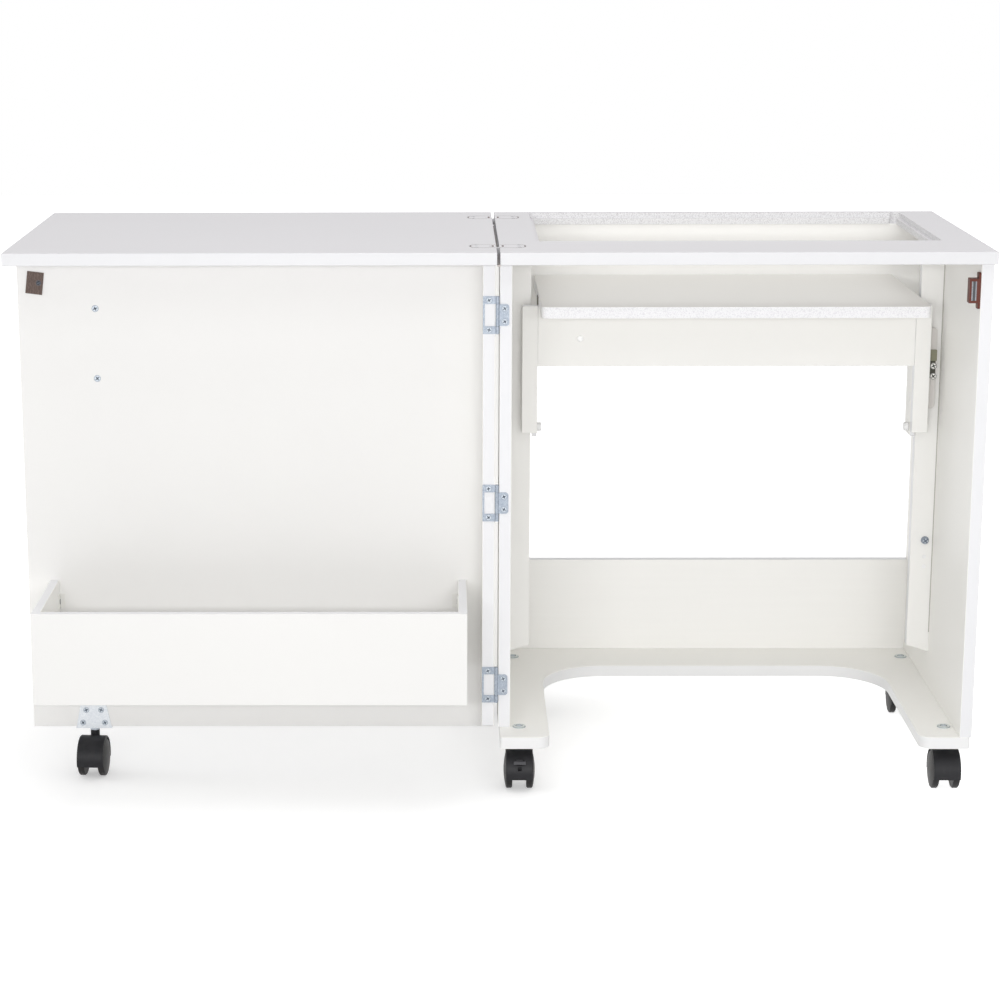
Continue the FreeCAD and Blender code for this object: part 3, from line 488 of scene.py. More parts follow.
def raw_board_material(name, face, raw_light, raw_dark, cover, inside=None):
    """A flat board with sawn and painted edges: all of them, or those inside a box of two corners."""
    material, tree, shader = new_material(name)
    board = place_group(tree, "board", {"Thin": (0, 0, 1), "Face": face, "Band": top_band})
    raw = place_group(tree, "raw edge", {"Light": raw_light, "Dark": raw_dark, "Cover": cover})
    place = tree.nodes.new("ShaderNodeTexCoord").outputs
    upward = math_node(tree, "ABSOLUTE", axes_of(tree, place["Normal"])["Z"])
    on_edge = math_node(tree, "LESS_THAN", upward, 0.5)
    if inside is not None:
        low, high = inside
        spot = axes_of(tree, place["Object"])
        for axis, letter in enumerate("XY"):
            away = away_from(tree, spot[letter], (low[axis] + high[axis]) / 2)
            near = math_node(tree, "LESS_THAN", away, (high[axis] - low[axis]) / 2)
            on_edge = math_node(tree, "MULTIPLY", on_edge, near)
    colour = mix_colours(tree, on_edge, board["Color"], raw["Color"])
    rougher = math_node(tree, "MULTIPLY", on_edge, raw_roughness)
    rough = math_node(tree, "ADD", board["Roughness"], rougher)
    height = math_node(tree, "MULTIPLY", raw["Height"], on_edge)
    set_surface(tree, shader, colour, rough, height, raw_bump, raw_relief)
    return material


def zinc_material(name, light=zinc_light, dark=zinc_dark, scale=zinc_scale):
    """Zinc plated steel."""
    material, tree, shader = new_material(name)
    zinc = place_group(tree, "zinc", {"Light": light, "Dark": dark, "Scale": scale})
    set_surface(tree, shader, zinc["Color"], zinc["Roughness"], zinc["Height"], zinc_bump)
    shader.inputs["Metallic"].default_value = zinc_metal
    return material


def screw_material(name, light, dark, painted_recess_shade=screw_recess_shade):
    """Plated screw heads, with painted shade in the cross and round the rim where the shade attribute marks
    them.
    """
    material, tree, shader = new_material(name)
    zinc = place_group(tree, "zinc", {"Light": light, "Dark": dark, "Scale": screw_scale})
    shade = add_node(tree, "ShaderNodeAttribute", attribute_name="shade").outputs["Fac"]
    colour = mix_colours(tree, shade, zinc["Color"], painted_recess_shade)
    set_surface(tree, shader, colour, zinc["Roughness"], zinc["Height"], smooth_bump)
    tree.links.new(remap(tree, shade, *screw_metal), shader.inputs["Metallic"])
    return material


def link_material(pin_reach):
    """White lacquered links with painted shade for the pin recess at each end."""
    material, tree, shader = new_material("link lacquer")
    grain = place_group(tree, "grain", {"Color": top_band, "Scale": lacquer_scale})
    sideways = math_node(tree, "ABSOLUTE", axes_of(tree, object_place(tree))["X"])
    on_pin = math_node(tree, "LESS_THAN", away_from(tree, sideways, pin_reach), pin_recess / 2)
    colour = mix_colours(tree, on_pin, grain["Color"], pin_recess_shade)
    set_surface(tree, shader, colour, grain["Roughness"], grain["Height"], smooth_bump)
    return material


def hinge_plate_material(pin_reach):
    """White lacquered hinge plates with a dark rim of painted shade for the gap round them, and painted shade
    for the slot over each pin.
    """
    material, tree, shader = new_material("hinge plate lacquer")
    grain = place_group(tree, "grain", {"Color": top_face, "Scale": lacquer_scale})
    spot = axes_of(tree, object_place(tree))
    low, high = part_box("flap_hinge_plates_top")
    hinge_reach = (high.y - low.y) / 2 - hinge_plate_half
    sideways = math_node(tree, "ABSOLUTE", spot["X"])
    lengthways = away_from(tree, away_from(tree, spot["Y"], (low.y + high.y) / 2), hinge_reach)
    past_end = math_node(tree, "SUBTRACT", sideways, high.x - hinge_plate_round)
    past_side = math_node(tree, "SUBTRACT", lengthways, hinge_plate_half - hinge_plate_round)
    corner = add_node(tree, "ShaderNodeCombineXYZ", {"X": math_node(tree, "MAXIMUM", past_end, 0.0),
                                                     "Y": math_node(tree, "MAXIMUM", past_side, 0.0)})
    reach = vector_node(tree, "LENGTH", corner.outputs[0])["Value"]
    on_rim = math_node(tree, "GREATER_THAN", reach, hinge_plate_round - hinge_rim)
    colour = mix_colours(tree, on_rim, grain["Color"], plate_gap_shade)
    over_pin = math_node(tree, "LESS_THAN", away_from(tree, sideways, pin_reach), pin_recess / 2)
    in_slot = math_node(tree, "LESS_THAN", lengthways, pin_slot_half)
    colour = mix_colours(tree, math_node(tree, "MULTIPLY", over_pin, in_slot), colour, pin_recess_shade)
    set_surface(tree, shader, colour, grain["Roughness"], grain["Height"], smooth_bump)
    return material


def plastic_material(name, colour, scale=plastic_scale, bump=plastic_bump, gloss=plain_gloss):
    """Moulded plastic, or lacquer, with a fine grain."""
    material, tree, shader = new_material(name)
    grain = place_group(tree, "grain", {"Color": colour, "Scale": scale})
    set_surface(tree, shader, grain["Color"], grain["Roughness"], grain["Height"], bump)
    shader.inputs["Specular IOR Level"].default_value = gloss
    return material


def striker_material():
    """Brown lacquered steel with curved rub marks."""
    material, tree, shader = new_material("striker lacquer")
    place = object_place(tree)
    bent = add_node(tree, "ShaderNodeTexWave", {"Vector": place, **rub_wave})
    mottle = noise(tree, place, mottle_scale, 4)
    rubbed = remap(tree, bent.outputs["Fac"], 0.0, 1.0, *rub_range)
    colour = mix_colours(tree, math_node(tree, "MULTIPLY", rubbed, mottle), striker_brown, striker_mark)
    set_surface(tree, shader, colour, remap(tree, mottle, *striker_roughness), mottle, striker_bump)
    shader.inputs["Metallic"].default_value = striker_metal
    return material


def make_materials():
    """Every finish on the cabinet, by name."""
    shelf_low, shelf_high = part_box("platform_shelf")
    rim = Vector((opening_rim, opening_rim, 0))
    opening = (shelf_low - rim, shelf_high + rim)
    links_low, links_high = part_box("flap_links")
    pin_reach = links_high.x - (links_high.z - links_low.z) / 2
    lacquer = (lacquer_scale, smooth_bump)
    smooth = (smooth_scale, smooth_bump)
    return {
        # Upright, lift, rail and base boards take lightened copies of the melamine colours: painted light for
        # the shade they stand in
        "upright": board_material("upright board", (1, 0, 0), inner_face_painted_light),
        "front": board_material("front board", (0, 1, 0)),
        "lift front": board_material("lift front board", (0, 1, 0), lift_face_painted_light),
        "rail": board_material("rail board", (0, 1, 0), rail_face_painted_light, streak=rail_streak),
        "flat": board_material("flat board", (0, 0, 1)),
        "base": board_material("base board", (0, 0, 1), inner_face_painted_light, base_band_painted_light, specks=base_specks),
        "leaf": board_material("leaf board", (0, 0, 1), top_face, top_band),
        "top": raw_board_material("machine top board", top_face, sawn_white, raw_grey, opening_cover,
                                  opening),
        "shelf": raw_board_material("platform board", shelf_face, raw_white, shelf_grey, shelf_cover),
        "hinge plate": hinge_plate_material(pin_reach),
        "link": link_material(pin_reach),
        "carriage": plastic_material("carriage lacquer", carriage_grey, *lacquer),
        "zinc": zinc_material("zinc"),
        "bracket zinc": zinc_material("bracket zinc", bracket_light, bracket_dark),
        "pole steel": zinc_material("pole steel", pole_light, pole_dark, pole_scale),
        "screw zinc": screw_material("screw zinc", screw_light, screw_dark),
        "nut zinc": screw_material("nut zinc", nut_light, nut_dark, nut_recess_shade),
        "carriage screw": screw_material("carriage screw", carriage_screw_light, carriage_screw_dark,
                                         carriage_recess_shade),
        "white screw": screw_material("white lacquered screw", top_face, top_face),
        "brass screw": screw_material("brass screw", brass_light, brass_dark),
        "black screw": screw_material("black screw", black_light, black_dark),
        "bin bracket": plastic_material("bin bracket lacquer", bin_bracket_white, *lacquer),
        "striker": striker_material(),
        "magnet": plastic_material("catch magnet", magnet_grey, magnet_scale),
        "catch": plastic_material("catch plastic", catch_brown, gloss=catch_gloss),
        "cap": plastic_material("stretcher cap plastic", cap_white, *smooth),
        "knob": plastic_material("knob plastic", knob_white, *smooth),
        "nylon": plastic_material("guide nylon", nylon_olive),
        "bracket nylon": plastic_material("shelf bracket nylon", bracket_olive),
        "shaded nylon copy": plastic_material("guide foot nylon shade", nylon_in_shade),
        "gap strip": plastic_material("gap strip rubber", gap_brown, gloss=strip_gloss),
        "joint": plastic_material("painted joint shade", joint_shade_grey, gloss=strip_gloss),
        "hood": plastic_material("castor hood plastic", castor_black, gloss=castor_gloss),
        "wheel": plastic_material("castor wheel plastic", castor_grey, wheel_scale, wheel_bump,
                                  castor_gloss),
        "brake tab": plastic_material("brake tab plastic", tab_grey, gloss=castor_gloss),
    }


finish = make_materials()
nodes_of_finish = {
    "upright": ("left_side_panel", "right_side_panel", "door_stile", "bin_left_end", "bin_right_end",
                "lift_side_plate", "lift_keepers"),
    "front": ("door_panel", "bin_front"),
    "lift front": ("lift_post", "lift_stretcher", "lift_fascia"),
    "rail": ("upper_back_rail", "lower_back_rail"),
    "flat": "bin_floor",
    "base": "base_plate",
    "leaf": "leaf_top",
    "top": "machine_top",
    "shelf": "platform_shelf",
    "hinge plate": "flap_hinge_plates",
    "link": "flap_links",
    "zinc": ("flap_hinge_pins", "door_hinge"),
    "white screw": "flap_hinge_screws",
    "screw zinc": ("cabinet_screws", "door_screws", "carriage_screws", "post_fittings",
                   "base_castor_stems", "base_stem_nuts", "door_castor_stem"),
    "bracket zinc": "castor_bracket",
    "bin bracket": "bin_brackets",
    "bracket nylon": "shelf_brackets",
    "carriage": "lift_carriages",
    "catch": "catch_body",
    "pole steel": "catch_poles",
    "striker": "striker_plate",
    "nylon": "lift_glides",
    "knob": "lock_knob",
    "hood": "castor_hood",
    "brake tab": "castor_brake_tab",
    "wheel": "castor_wheels",
}


def dress(piece, name):
    """Give a piece one finish."""
    piece.data.materials.clear()
    piece.data.materials.append(finish[name])


for solid_name, solid in solids.items():
    for finish_name, starts in nodes_of_finish.items():
        if solid_name.startswith(starts):
            dress(solid, finish_name)


def separate_boxes(node):
    """Low and high corners of each separate solid in a node, sorted by place so that every run agrees."""
    mesh = bmesh.new()
    mesh.from_mesh(solids[node].data)
    bmesh.ops.remove_doubles(mesh, verts=mesh.verts, dist=1e-6)
    left = set(mesh.verts)
    found = []
    while left:
        island = [left.pop()]
        for vertex in island:
            for edge in vertex.link_edges:
                other = edge.other_vert(vertex)
                if other in left:
                    left.remove(other)
                    island.append(other)
        corners = [vertex.co for vertex in island]
        low = Vector([min(corner[axis] for corner in corners) for axis in range(3)])
        high = Vector([max(corner[axis] for corner in corners) for axis in range(3)])
        found.append((low, high))
    mesh.free()
    return sorted(found, key=lambda pair: [round(value, 5) for value in (*pair[0], *pair[1])])


def geometry_tree(name, sizes):
    """A Geometry Nodes tree with a turn, named sizes and a material as inputs, and its two end nodes."""
    tree = bpy.data.node_groups.new(name, "GeometryNodeTree")
    inputs = [("Geometry", "Geometry"), ("Turn", "Rotation")]
    inputs += [(label, "Float") for label in sizes]
    for label, kind in inputs + [("Material", "Material")]:
        tree.interface.new_socket(label, in_out="INPUT", socket_type="NodeSocket" + kind)
    tree.interface.new_socket("Geometry", in_out="OUTPUT", socket_type="NodeSocketGeometry")
    return tree, tree.nodes.new("NodeGroupInput"), tree.nodes.new("NodeGroupOutput")


def cone_node(tree, low_radius, high_radius, depth):
    """A round frustum standing on the origin."""
    radii = {"Radius Bottom": low_radius, "Radius Top": high_radius}
    inputs = {"Vertices": round_sides, "Depth": depth, **radii}
    return add_node(tree, "GeometryNodeMeshCone", inputs).outputs["Mesh"]


def shifted(tree, geometry, up, turn=(0, 0, 0)):
    """Geometry raised along Z, then turned."""
    offset = add_node(tree, "ShaderNodeCombineXYZ", {"Z": up})
    inputs = {"Geometry": geometry, "Translation": offset.outputs[0], "Rotation": turn}
    return add_node(tree, "GeometryNodeTransform", inputs).outputs["Geometry"]


def shade_below(tree, shape, top, inner_radius):
    """Mark faces below a head's top for painted shade in its material: hollows in full, and the rim outside a
    radius less.
    """
    spot = tree.nodes.new("GeometryNodeInputPosition").outputs["Position"]
    flat = vector_node(tree, "MULTIPLY", spot, (1, 1, 0))["Vector"]
    away = vector_node(tree, "LENGTH", flat)["Value"]
    just_under = math_node(tree, "SUBTRACT", top, touching)
    below = math_node(tree, "LESS_THAN", axes_of(tree, spot)["Z"], just_under)
    on_rim = math_node(tree, "GREATER_THAN", away, inner_radius)
    shade = math_node(tree, "MULTIPLY", below, remap(tree, on_rim, 1.0, ring_shade))
    inputs = {"Geometry": shape, "Name": "shade", "Value": shade}
    stored = add_node(tree, "GeometryNodeStoreNamedAttribute", inputs, data_type="FLOAT", domain="FACE")
    return stored.outputs["Geometry"]


def finish_instances(tree, start, end, shape):
    """Set one shape on every point, spun at random about its own axis, and end in a plain mesh."""
    size = start.outputs
    points = {"Points": size["Geometry"], "Instance": shape, "Rotation": size["Turn"]}
    on_points = add_node(tree, "GeometryNodeInstanceOnPoints", points).outputs[0]
    spin = add_node(tree, "FunctionNodeRandomValue", {2: 0.0, 3: math.pi, "Seed": spin_seed})
    spin_turn = add_node(tree, "ShaderNodeCombineXYZ", {"Z": spin.outputs[1]}).outputs[0]
    turns = {"Instances": on_points, "Rotation": spin_turn, "Local Space": True}
    turned = add_node(tree, "GeometryNodeRotateInstances", turns).outputs[0]
    real = add_node(tree, "GeometryNodeRealizeInstances", {"Geometry": turned}).outputs[0]
    dress_inputs = {"Geometry": real, "Material": size["Material"]}
    dressed = add_node(tree, "GeometryNodeSetMaterial", dress_inputs).outputs[0]
    tree.links.new(dressed, end.inputs["Geometry"])


def screw_tree():
    """Cross-recess screw heads: a seat, a shoulder and a crown, with the cross cut into it."""
    tree, start, end = geometry_tree("screw heads", (
        "Seat radius", "Shoulder radius", "Crown radius", "Shoulder height", "Crown height",
        "Cross length", "Cross width", "Cross depth"))
    size = start.outputs
    lower = cone_node(tree, size["Seat radius"], size["Shoulder radius"], size["Shoulder height"])
    upper = cone_node(tree, size["Shoulder radius"], size["Crown radius"], size["Crown height"])
    upper = shifted(tree, upper, size["Shoulder height"])
    head = add_node(tree, "GeometryNodeMeshBoolean", operation="UNION")
    for part in (lower, upper):
        tree.links.new(part, head.inputs["Mesh 2"])
    top = math_node(tree, "ADD", size["Shoulder height"], size["Crown height"])
    whole = {"Mesh 1": head.outputs["Mesh"]}
    cut = add_node(tree, "GeometryNodeMeshBoolean", whole, operation="DIFFERENCE")
    length, width = size["Cross length"], size["Cross width"]
    depth = math_node(tree, "MULTIPLY", size["Cross depth"], 2.0)
    for along, across in ((length, width), (width, length)):
        bar_size = add_node(tree, "ShaderNodeCombineXYZ", {"X": along, "Y": across, "Z": depth})
        bar = add_node(tree, "GeometryNodeMeshCube", {"Size": bar_size.outputs[0]})
        tree.links.new(shifted(tree, bar.outputs["Mesh"], top), cut.inputs["Mesh 2"])
    shaded = shade_below(tree, cut.outputs["Mesh"], top, size["Crown radius"])
    down = math_node(tree, "MULTIPLY", top, -1.0)
    finish_instances(tree, start, end, shifted(tree, shaded, down))
    return tree


def nut_tree():
    """Flanged nuts: a bevelled ring with three prong slots."""
    tree, start, end = geometry_tree("flanged nuts", (
        "Radius", "Edge radius", "Height", "Bore radius", "Prong reach", "Prong length", "Prong width"))
    size = start.outputs
    ring = cone_node(tree, size["Radius"], size["Edge radius"], size["Height"])
    cut = add_node(tree, "GeometryNodeMeshBoolean", {"Mesh 1": ring}, operation="DIFFERENCE")
    tall = math_node(tree, "MULTIPLY", size["Height"], 4.0)
    down = math_node(tree, "MULTIPLY", size["Height"], -1.0)
    bore = cone_node(tree, size["Bore radius"], size["Bore radius"], tall)
    tree.links.new(shifted(tree, bore, down), cut.inputs["Mesh 2"])
    prong = {"X": size["Prong length"], "Y": size["Prong width"], "Z": tall}
    slot_size = add_node(tree, "ShaderNodeCombineXYZ", prong)
    slot = add_node(tree, "GeometryNodeMeshCube", {"Size": slot_size.outputs[0]})
    slot_place = add_node(tree, "ShaderNodeCombineXYZ", {"Y": size["Prong reach"]})
    moved = {"Geometry": slot.outputs["Mesh"], "Translation": slot_place.outputs[0]}
    outside = add_node(tree, "GeometryNodeTransform", moved).outputs["Geometry"]
    for prong_number in range(3):
        turn = (0, 0, prong_number * 2 * math.pi / 3)
        tree.links.new(shifted(tree, outside, 0.0, turn), cut.inputs["Mesh 2"])
    # The bore, slots and sides get painted shade through the shade attribute
    shaded = shade_below(tree, cut.outputs["Mesh"], size["Height"], size["Bore radius"])
    finish_instances(tree, start, end, shifted(tree, shaded, down))
    return tree


trees = {"screw": screw_tree(), "nut": nut_tree()}


def repeat_on_points(name, tree, points, values):
    """One plain mesh of a Geometry Nodes shape repeated on the points."""
    mesh = bpy.data.meshes.new(name + " points")
    mesh.from_pydata(points, [], [])
    seed = bpy.data.objects.new(name + " points", mesh)
    scene.collection.objects.link(seed)
    modifier = seed.modifiers.new("repeat", "NODES")
    modifier.node_group = tree
    for item in tree.interface.items_tree:
        if item.in_out == "INPUT" and item.name in values:
            modifier[item.identifier] = values[item.name]
    bpy.context.view_layer.update()
    evaluated = seed.evaluated_get(bpy.context.evaluated_depsgraph_get())
    result = bpy.data.meshes.new_from_object(evaluated)
    result.validate()
    result.name = name
    piece = bpy.data.objects.new(name, result)
    scene.collection.objects.link(piece)
    bpy.data.objects.remove(seed)
    return piece


def outward_turn(outward):
    """The turn that brings a shape's own +Z to face outward."""
    return Vector(outward).to_track_quat("Z", "Y").to_euler()


def face_centre(low, high, outward):
    """Middle of the face of a box that looks outward."""
    middle = (low + high) / 2
    for axis in range(3):
        if outward[axis]:
            middle[axis] = high[axis] if outward[axis] > 0 else low[axis]
    return middle


def head_radius(low, high, outward):
    """Half the width of a box across the outward axis."""
    return max(high[axis] - low[axis] for axis in range(3) if not outward[axis]) / 2


def screw_values(outward, radius, finish_name, changes):
    """Sizes of a countersunk cross-recess head, with the changes made to them."""
    values = {"Turn": outward_turn(outward), "Seat radius": radius - countersink,
              "Shoulder radius": radius, "Crown radius": radius * crown_share,
              "Shoulder height": countersink, "Crown height": crown_rise,
              "Cross length": radius * cross_length_share, "Cross width": radius * cross_width_share,
              "Cross depth": cross_depth, "Material": finish[finish_name]}
    values.update(changes)
    return values


def nut_values(outward, radius, height, edge_share, bore_radius, prong_reach, finish_name):
    """Sizes of a flanged nut, or of a plain plug when its prongs lie outside it."""
    return {"Turn": outward_turn(outward), "Radius": radius, "Edge radius": radius * edge_share,
            "Height": height, "Bore radius": bore_radius, "Prong reach": prong_reach,
            "Prong length": nut_prong_size[0], "Prong width": nut_prong_size[1],
            "Material": finish[finish_name]}


def add_screws(name, body, boxes, outward, finish_name, spread=0.0, crown=crown_share):
    """Countersunk screws on the heads of the given solids, larger by a spread; flush in the table surface."""
    radius = head_radius(*boxes[0], outward) + spread
    proud = 0.0 if outward == face_up else crown_rise
    points = [face_centre(low, high, outward) + Vector(outward) * proud for low, high in boxes]
    values = screw_values(outward, radius, finish_name, {"Crown radius": radius * crown})
    piece = repeat_on_points(name, trees["screw"], points, values)
    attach(piece, body)
    return piece


def outward_axis(low, high, choices):
    """Which of the outward directions a screw's long side lies along."""
    spans = high - low
    longest = max(range(3), key=lambda axis: spans[axis])
    return next(choice for choice in choices if choice[longest])


def screw_finish(point, finish_name):
    """The finish of a screw head: its own where it holds the striker or the catch."""
    for holder, own_finish in (("striker_plate", "black screw"), ("catch_body", "brass screw")):
        low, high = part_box(holder)
        if all(low[axis] - countersink < point[axis] < high[axis] + countersink for axis in range(3)):
            return own_finish
    return finish_name


def same_kind(boxes, outward, finish_name):
    """Screws sorted into lists of equal head radius and finish."""
    kinds = {}
    for low, high in boxes:
        own_finish = screw_finish(face_centre(low, high, outward), finish_name)
        kind = (round(head_radius(low, high, outward), 4), own_finish)
        kinds.setdefault(kind, []).append((low, high))
    return kinds


def replace_screws(node, body, choices, finish_name):
    """Detailed screws in place of a node of plain ones."""
    number = 0
    for outward in choices:
        boxes = [pair for pair in separate_boxes(node) if outward_axis(*pair, choices) == outward]
        for (_, own_finish), alike in same_kind(boxes, outward, finish_name).items():
            number += 1
            spread = hinge_screw_spread if own_finish == "screw zinc" else 0.0
            piece = add_screws("%s_heads_%d" % (node, number), body, alike, outward, own_finish, spread)
            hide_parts(node)


replace_screws("door_screws", "door", [face_front], "screw zinc")
replace_screws("cabinet_screws", "cabinet", [face_front, face_left], "screw zinc")
replace_screws("flap_hinge_screws_leaf", "leaf", [face_up], "white screw")
replace_screws("flap_hinge_screws_top", "cabinet", [face_up], "white screw")


def add_stem_nuts():
    """Flanged nuts on the base plate, with the stem's end in each bore."""
    boxes = separate_boxes("base_stem_nuts")
    radius = head_radius(*boxes[0], face_up)
    height = boxes[0][1].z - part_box("base_plate")[1].z
    points = [face_centre(*pair, face_up) for pair in boxes]
    values = nut_values(face_up, radius, height, nut_edge_share, nut_bore_radius,
                        radius * nut_prong_reach_share, "nut zinc")
    piece = repeat_on_points("flanged_nuts", trees["nut"], points, values)
    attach(piece, "cabinet")
    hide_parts("base_stem_nuts")


def add_post_fittings():
    """Pan-head stop screw and flush plugs on the right lift post, which alone shows them."""
    right_of_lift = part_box("lift_stretcher")[1].x
    boxes = [pair for pair in separate_boxes("post_fittings") if pair[0].x > right_of_lift]
    tallest = max(high.y - low.y for low, high in boxes)
    stops = [pair for pair in boxes if pair[1].y - pair[0].y > tallest / 2]
    plugs = [pair for pair in boxes if pair not in stops]
    radius = head_radius(*stops[0], face_front)
    values = screw_values(face_front, radius, "screw zinc", {
        "Seat radius": radius, "Shoulder radius": radius * pan_shoulder_share,
        "Crown radius": radius * pan_crown_share, "Shoulder height": pan_shoulder_height,
        "Crown height": pan_height - pan_shoulder_height})
    points = [face_centre(*pair, face_front) for pair in stops]
    heads = repeat_on_points("stop_screw_heads", trees["screw"], points, values)
    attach(heads, "cabinet")
    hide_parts("post_fittings")
    radius = head_radius(*plugs[0], face_front)
    height = plugs[0][1].y - plugs[0][0].y
    values = nut_values(face_front, radius, height, crown_share, radius * plug_bore_share,
                        radius * plug_prong_share, "knob")
    points = [face_centre(*pair, face_front) for pair in plugs]
    caps = repeat_on_points("post_plugs", trees["nut"], points, values)
    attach(caps, "cabinet")
    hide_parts("post_fittings")


def add_bin_screws():
    """A small dark screw through each bin bracket into the end board of the bin."""
    brackets = sorted(separate_boxes("bin_brackets"), key=lambda pair: pair[0].x)
    for name, side, (low, high) in zip(("bin_screw_left", "bin_screw_right"), (1, -1), brackets):
        outward = (side, 0, 0)
        place = (low + high) / 2
        wall = low.x if side > 0 else high.x
        place.x = wall + side * (bin_bracket_thickness + crown_rise)
        values = screw_values(outward, bin_screw_radius, "black screw", {})
        piece = repeat_on_points(name, trees["screw"], [place], values)
        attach(piece, "door")


def mesh_piece(name, vertices, faces, finish_name):
    """A new piece from its points and faces, with faces pointing outwards."""
    mesh = bpy.data.meshes.new(name)
    mesh.from_pydata(vertices, [], faces)
    shape = bmesh.new()
    shape.from_mesh(mesh)
    bmesh.ops.recalc_face_normals(shape, faces=shape.faces)
    shape.to_mesh(mesh)
    shape.free()
    piece = bpy.data.objects.new(name, mesh)
    scene.collection.objects.link(piece)
    dress(piece, finish_name)
    return piece


def prism(section, near, far):
    """Points and faces of an upright section of x and z, drawn out along Y."""
    vertices = [(x, y, z) for y in (near, far) for x, z in section]
    count = len(section)
    sides = [(i, (i + 1) % count, count + (i + 1) % count, count + i) for i in range(count)]
    return vertices, sides + [tuple(range(count)), tuple(range(count, 2 * count))]


def round_corners(low, high, radius):
    """The outline of a box seen from the front, with round corners."""
    outline = []
    for corner, (across, up) in enumerate(((1, 1), (-1, 1), (-1, -1), (1, -1))):
        middle_x = (high.x if across > 0 else low.x) - across * radius
        middle_z = (high.z if up > 0 else low.z) - up * radius
        for step in range(corner_steps + 1):
            turn = math.pi / 2 * (corner + step / corner_steps)
            outline.append((middle_x + radius * math.cos(turn), middle_z + radius * math.sin(turn)))
    return outline


def round_plates(name, boxes, radius, finish_name):
    """One piece of several plates with round corners."""
    vertices, faces = [], []
    for low, high in boxes:
        start = len(vertices)
        points, sides = prism(round_corners(low, high, radius), low.y, high.y)
        vertices += points
        faces += [tuple(start + index for index in side) for side in sides]
    return mesh_piece(name, vertices, faces, finish_name)


def carriage_boxes(node):
    """Boxes of a node on the carriages, cut to what the left fascia hides or shows beside the right one."""
    hidden_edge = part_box("lift_fascia_left")[0].x + carriage_hide
    shown_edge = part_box("lift_fascia_right")[1].x + carriage_reach
    kept = []
    for low, high in separate_boxes(node):
        low.x = max(low.x, hidden_edge)
        high.x = min(high.x, shown_edge)
        if low.x < high.x:
            kept.append((low, high))
    return kept


def add_carriages():
    """The lift's carriage plates, their nylon guides and their screws."""
    plate_boxes = carriage_boxes("lift_carriages")
    plates = round_plates("carriage_plates", plate_boxes, carriage_round, "carriage")
    guides = round_plates("carriage_guides", carriage_boxes("lift_glides"), guide_round, "nylon")
    stand = Vector((0, -carriage_screw_stand, 0))
    heads = [(low + stand, high + stand) for low, high in carriage_boxes("carriage_screws")]
    screws = add_screws("carriage_screw_heads", "lift", heads, face_front, "carriage screw",
                        carriage_screw_spread, carriage_crown_share)
    replaced = ((plates, "lift_carriages"), (guides, "lift_glides"), (screws, "carriage_screws"))
    for piece, node in replaced:
        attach(piece, "lift")
        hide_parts(node)


def add_guide_foot():
    """The foot of the right guide block, behind the carriage screws, in a dark copy of its nylon: painted
    shade.
    """
    heads = sorted(carriage_boxes("carriage_screws"), key=lambda pair: pair[0].z)
    plate_low, plate_high = max(carriage_boxes("lift_carriages"), key=lambda pair: pair[0].x)
    low = Vector((plate_low.x, plate_low.y - guide_foot_stand, heads[0][0].z))
    high = Vector((plate_high.x - guide_foot_inset, plate_low.y, heads[-1][1].z + guide_foot_rise))
    piece = round_plates("guide_foot", [(low, high)], guide_round, "shaded nylon copy")
    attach(piece, "lift")


def add_catch_magnet():
    """The dark magnet between the catch's steel poles."""
    left, right = sorted(separate_boxes("catch_poles"), key=lambda pair: pair[0].x)
    low = Vector((left[1].x, left[0].y + magnet_recess, left[0].z))
    high = Vector((right[0].x, right[1].y, right[1].z))
    piece = round_plates("catch_magnet", [(low, high)], magnet_round, "magnet")
    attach(piece, "cabinet")


def add_post_joint_shade():
    """A thin grey strip on the right lift post where it meets the side panel: painted shade of the gap
    between them.
    """
    low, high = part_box("lift_post_right")
    left, bottom = high.x - joint_width, low.z + joint_end_gap
    section = [(left, bottom), (high.x, bottom), (high.x, high.z), (left, high.z)]
    piece = mesh_piece("post_joint", *prism(section, low.y - joint_depth, low.y), "joint")
    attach(piece, "cabinet")


def add_gap_strip():
    """A dark strip under the machine top's left edge, seen through the gap beside the leaf."""
    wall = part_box("left_side_panel")[0].x
    low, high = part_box("machine_top")
    left, under, top = wall - strip_width, low.z - strip_height, low.z
    section = [(wall, under), (left + strip_round, under), (left, under + strip_round),
               (left, top - strip_round), (left + strip_round, top), (wall, top)]
    shape = prism(section, low.y + strip_front_gap, high.y - strip_back_gap)
    piece = mesh_piece("gap_strip", *shape, "gap strip")
    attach(piece, "cabinet")


def lathe(profile, centre, sides):
    """Points and faces of a profile of radius and forward distance turned about -Y through a centre."""
    vertices = []
    for radius, forward in profile:
        for step in range(sides):
            turn = 2 * math.pi * step / sides
            across, up = radius * math.cos(turn), radius * math.sin(turn)
            vertices.append((centre.x + across, centre.y - forward, centre.z + up))
    last = (len(profile) - 1) * sides
    faces = [tuple(range(sides)), tuple(range(last, last + sides))]
    for near in range(0, last, sides):
        far = near + sides
        for step in range(sides):
            after = (step + 1) % sides
            faces.append((near + step, near + after, far + after, far + step))
    return vertices, faces


def add_stretcher_cap():
    """A white plug in the hole of the lift's stretcher."""
    low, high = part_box("lift_stretcher")
    corners = [vertex.co for vertex in solids["lift_stretcher"].data.vertices]
    front = [corner for corner in corners if abs(corner.y - low.y) < touching]
    inside = [corner for corner in front if low.x + cap_search < corner.x < high.x - cap_search
              and low.z + cap_search < corner.z < high.z - cap_search]
    centre = sum(inside, Vector()) / len(inside)
    radius = max((corner - centre).length for corner in inside)
    profile = [(radius * share, forward) for share, forward in cap_profile]
    piece = mesh_piece("stretcher_cap", *lathe(profile, centre, round_sides), "cap")
    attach(piece, "lift")


add_carriages()
add_guide_foot()
add_catch_magnet()
add_stem_nuts()
add_post_fittings()
add_bin_screws()
add_post_joint_shade()
add_gap_strip()
add_stretcher_cap()


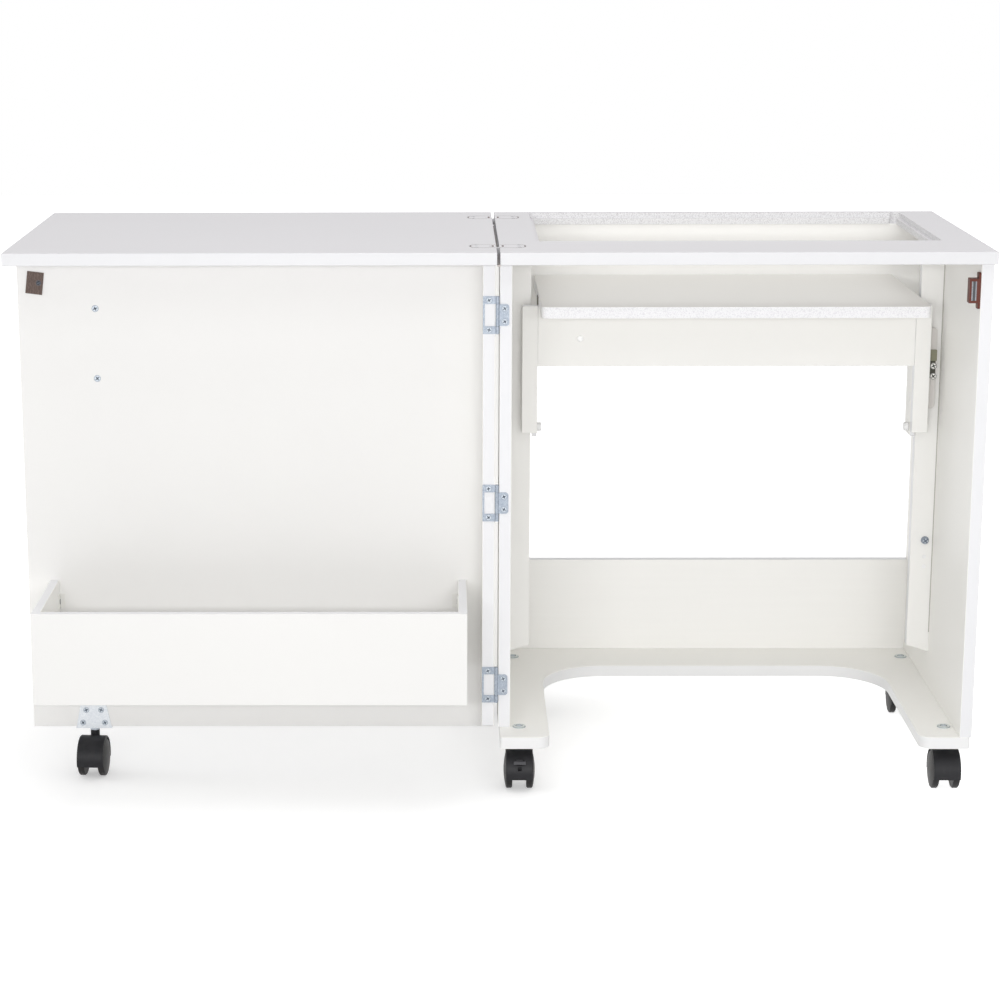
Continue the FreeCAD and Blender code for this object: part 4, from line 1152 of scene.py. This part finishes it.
def background_share(tree):
    """One for rays that see the background as it is: from the camera, or by gloss or glass."""
    path = tree.nodes.new("ShaderNodeLightPath")
    seen = math_node(tree, "MAXIMUM", path.outputs["Is Camera Ray"], path.outputs["Is Glossy Ray"])
    return math_node(tree, "MAXIMUM", seen, path.outputs["Is Transmission Ray"])


def make_world():
    """A white surround that lights the cabinet more softly than it looks."""
    world = bpy.data.worlds.new("white studio")
    world.use_nodes = True
    tree = world.node_tree
    strength = remap(tree, background_share(tree), sky_strength, 1.0)
    tree.links.new(strength, tree.nodes["Background"].inputs["Strength"])
    tree.nodes["Background"].inputs["Color"].default_value = (1, 1, 1, 1)
    scene.world = world


def make_floor():
    """A white floor that keeps the cabinet's shadow; its glow is weaker towards a centre near the cabinet,
    which paints soft shade round it on top of the real shadow.
    """
    bpy.ops.mesh.primitive_plane_add(size=floor_size)
    floor = bpy.context.object
    floor.name = "floor"
    material, tree, shader = new_material("white floor")
    tree.nodes.remove(shader)
    bounce = add_node(tree, "ShaderNodeBsdfDiffuse", {"Color": (*[floor_bounce] * 3, 1)})
    shade = add_node(tree, "ShaderNodeBsdfDiffuse", {"Color": (*[floor_shade] * 3, 1)})
    away = vector_node(tree, "DISTANCE", object_place(tree), shade_centre)["Value"]
    # Weaker glow near the centre: painted shade
    strength = remap(tree, away, floor_glow, 1.0, *glow_reach)
    glow = add_node(tree, "ShaderNodeEmission", {"Color": (1, 1, 1, 1), "Strength": strength})
    seen = add_node(tree, "ShaderNodeAddShader", {0: shade.outputs[0], 1: glow.outputs[0]})
    mix = add_node(tree, "ShaderNodeMixShader",
                   {0: background_share(tree), 1: bounce.outputs[0], 2: seen.outputs[0]})
    tree.links.new(mix.outputs[0], tree.nodes["Material Output"].inputs["Surface"])
    floor.data.materials.append(material)


def add_soft_box(name, place, width, height, power):
    """A soft lamp that faces the cabinet."""
    lamp = bpy.data.lights.new(name, "AREA")
    lamp.shape = "RECTANGLE"
    lamp.size = width
    lamp.size_y = height
    lamp.energy = power
    holder = bpy.data.objects.new(name, lamp)
    scene.collection.objects.link(holder)
    target = (cad_box[0] + cad_box[1]) / 2
    aim = (target - place).to_track_quat("-Z", "Y")
    holder.matrix_world = Matrix.Translation(place) @ aim.to_matrix().to_4x4()


def make_camera():
    """The camera where the photograph was taken from."""
    camera = bpy.data.cameras.new("camera")
    camera.sensor_width = sensor_millimetres
    camera.lens = focal_pixels / frame_pixels * sensor_millimetres
    camera.shift_x = (frame_pixels / 2 - principal_pixel[0]) / frame_pixels
    camera.shift_y = (principal_pixel[1] - frame_pixels / 2) / frame_pixels
    holder = bpy.data.objects.new("camera", camera)
    scene.collection.objects.link(holder)
    turn = Matrix.Rotation(math.radians(camera_yaw_degrees), 4, "Z")
    turn = turn @ Matrix.Rotation(math.radians(90 - camera_pitch_degrees), 4, "X")
    turn = turn @ Matrix.Rotation(math.radians(camera_roll_degrees), 4, "Z")
    holder.matrix_world = Matrix.Translation(camera_place) @ turn
    scene.camera = holder


make_world()
make_floor()
for box_name, (place, width, height, power) in soft_boxes.items():
    add_soft_box(box_name, place, width, height, power)
make_camera()
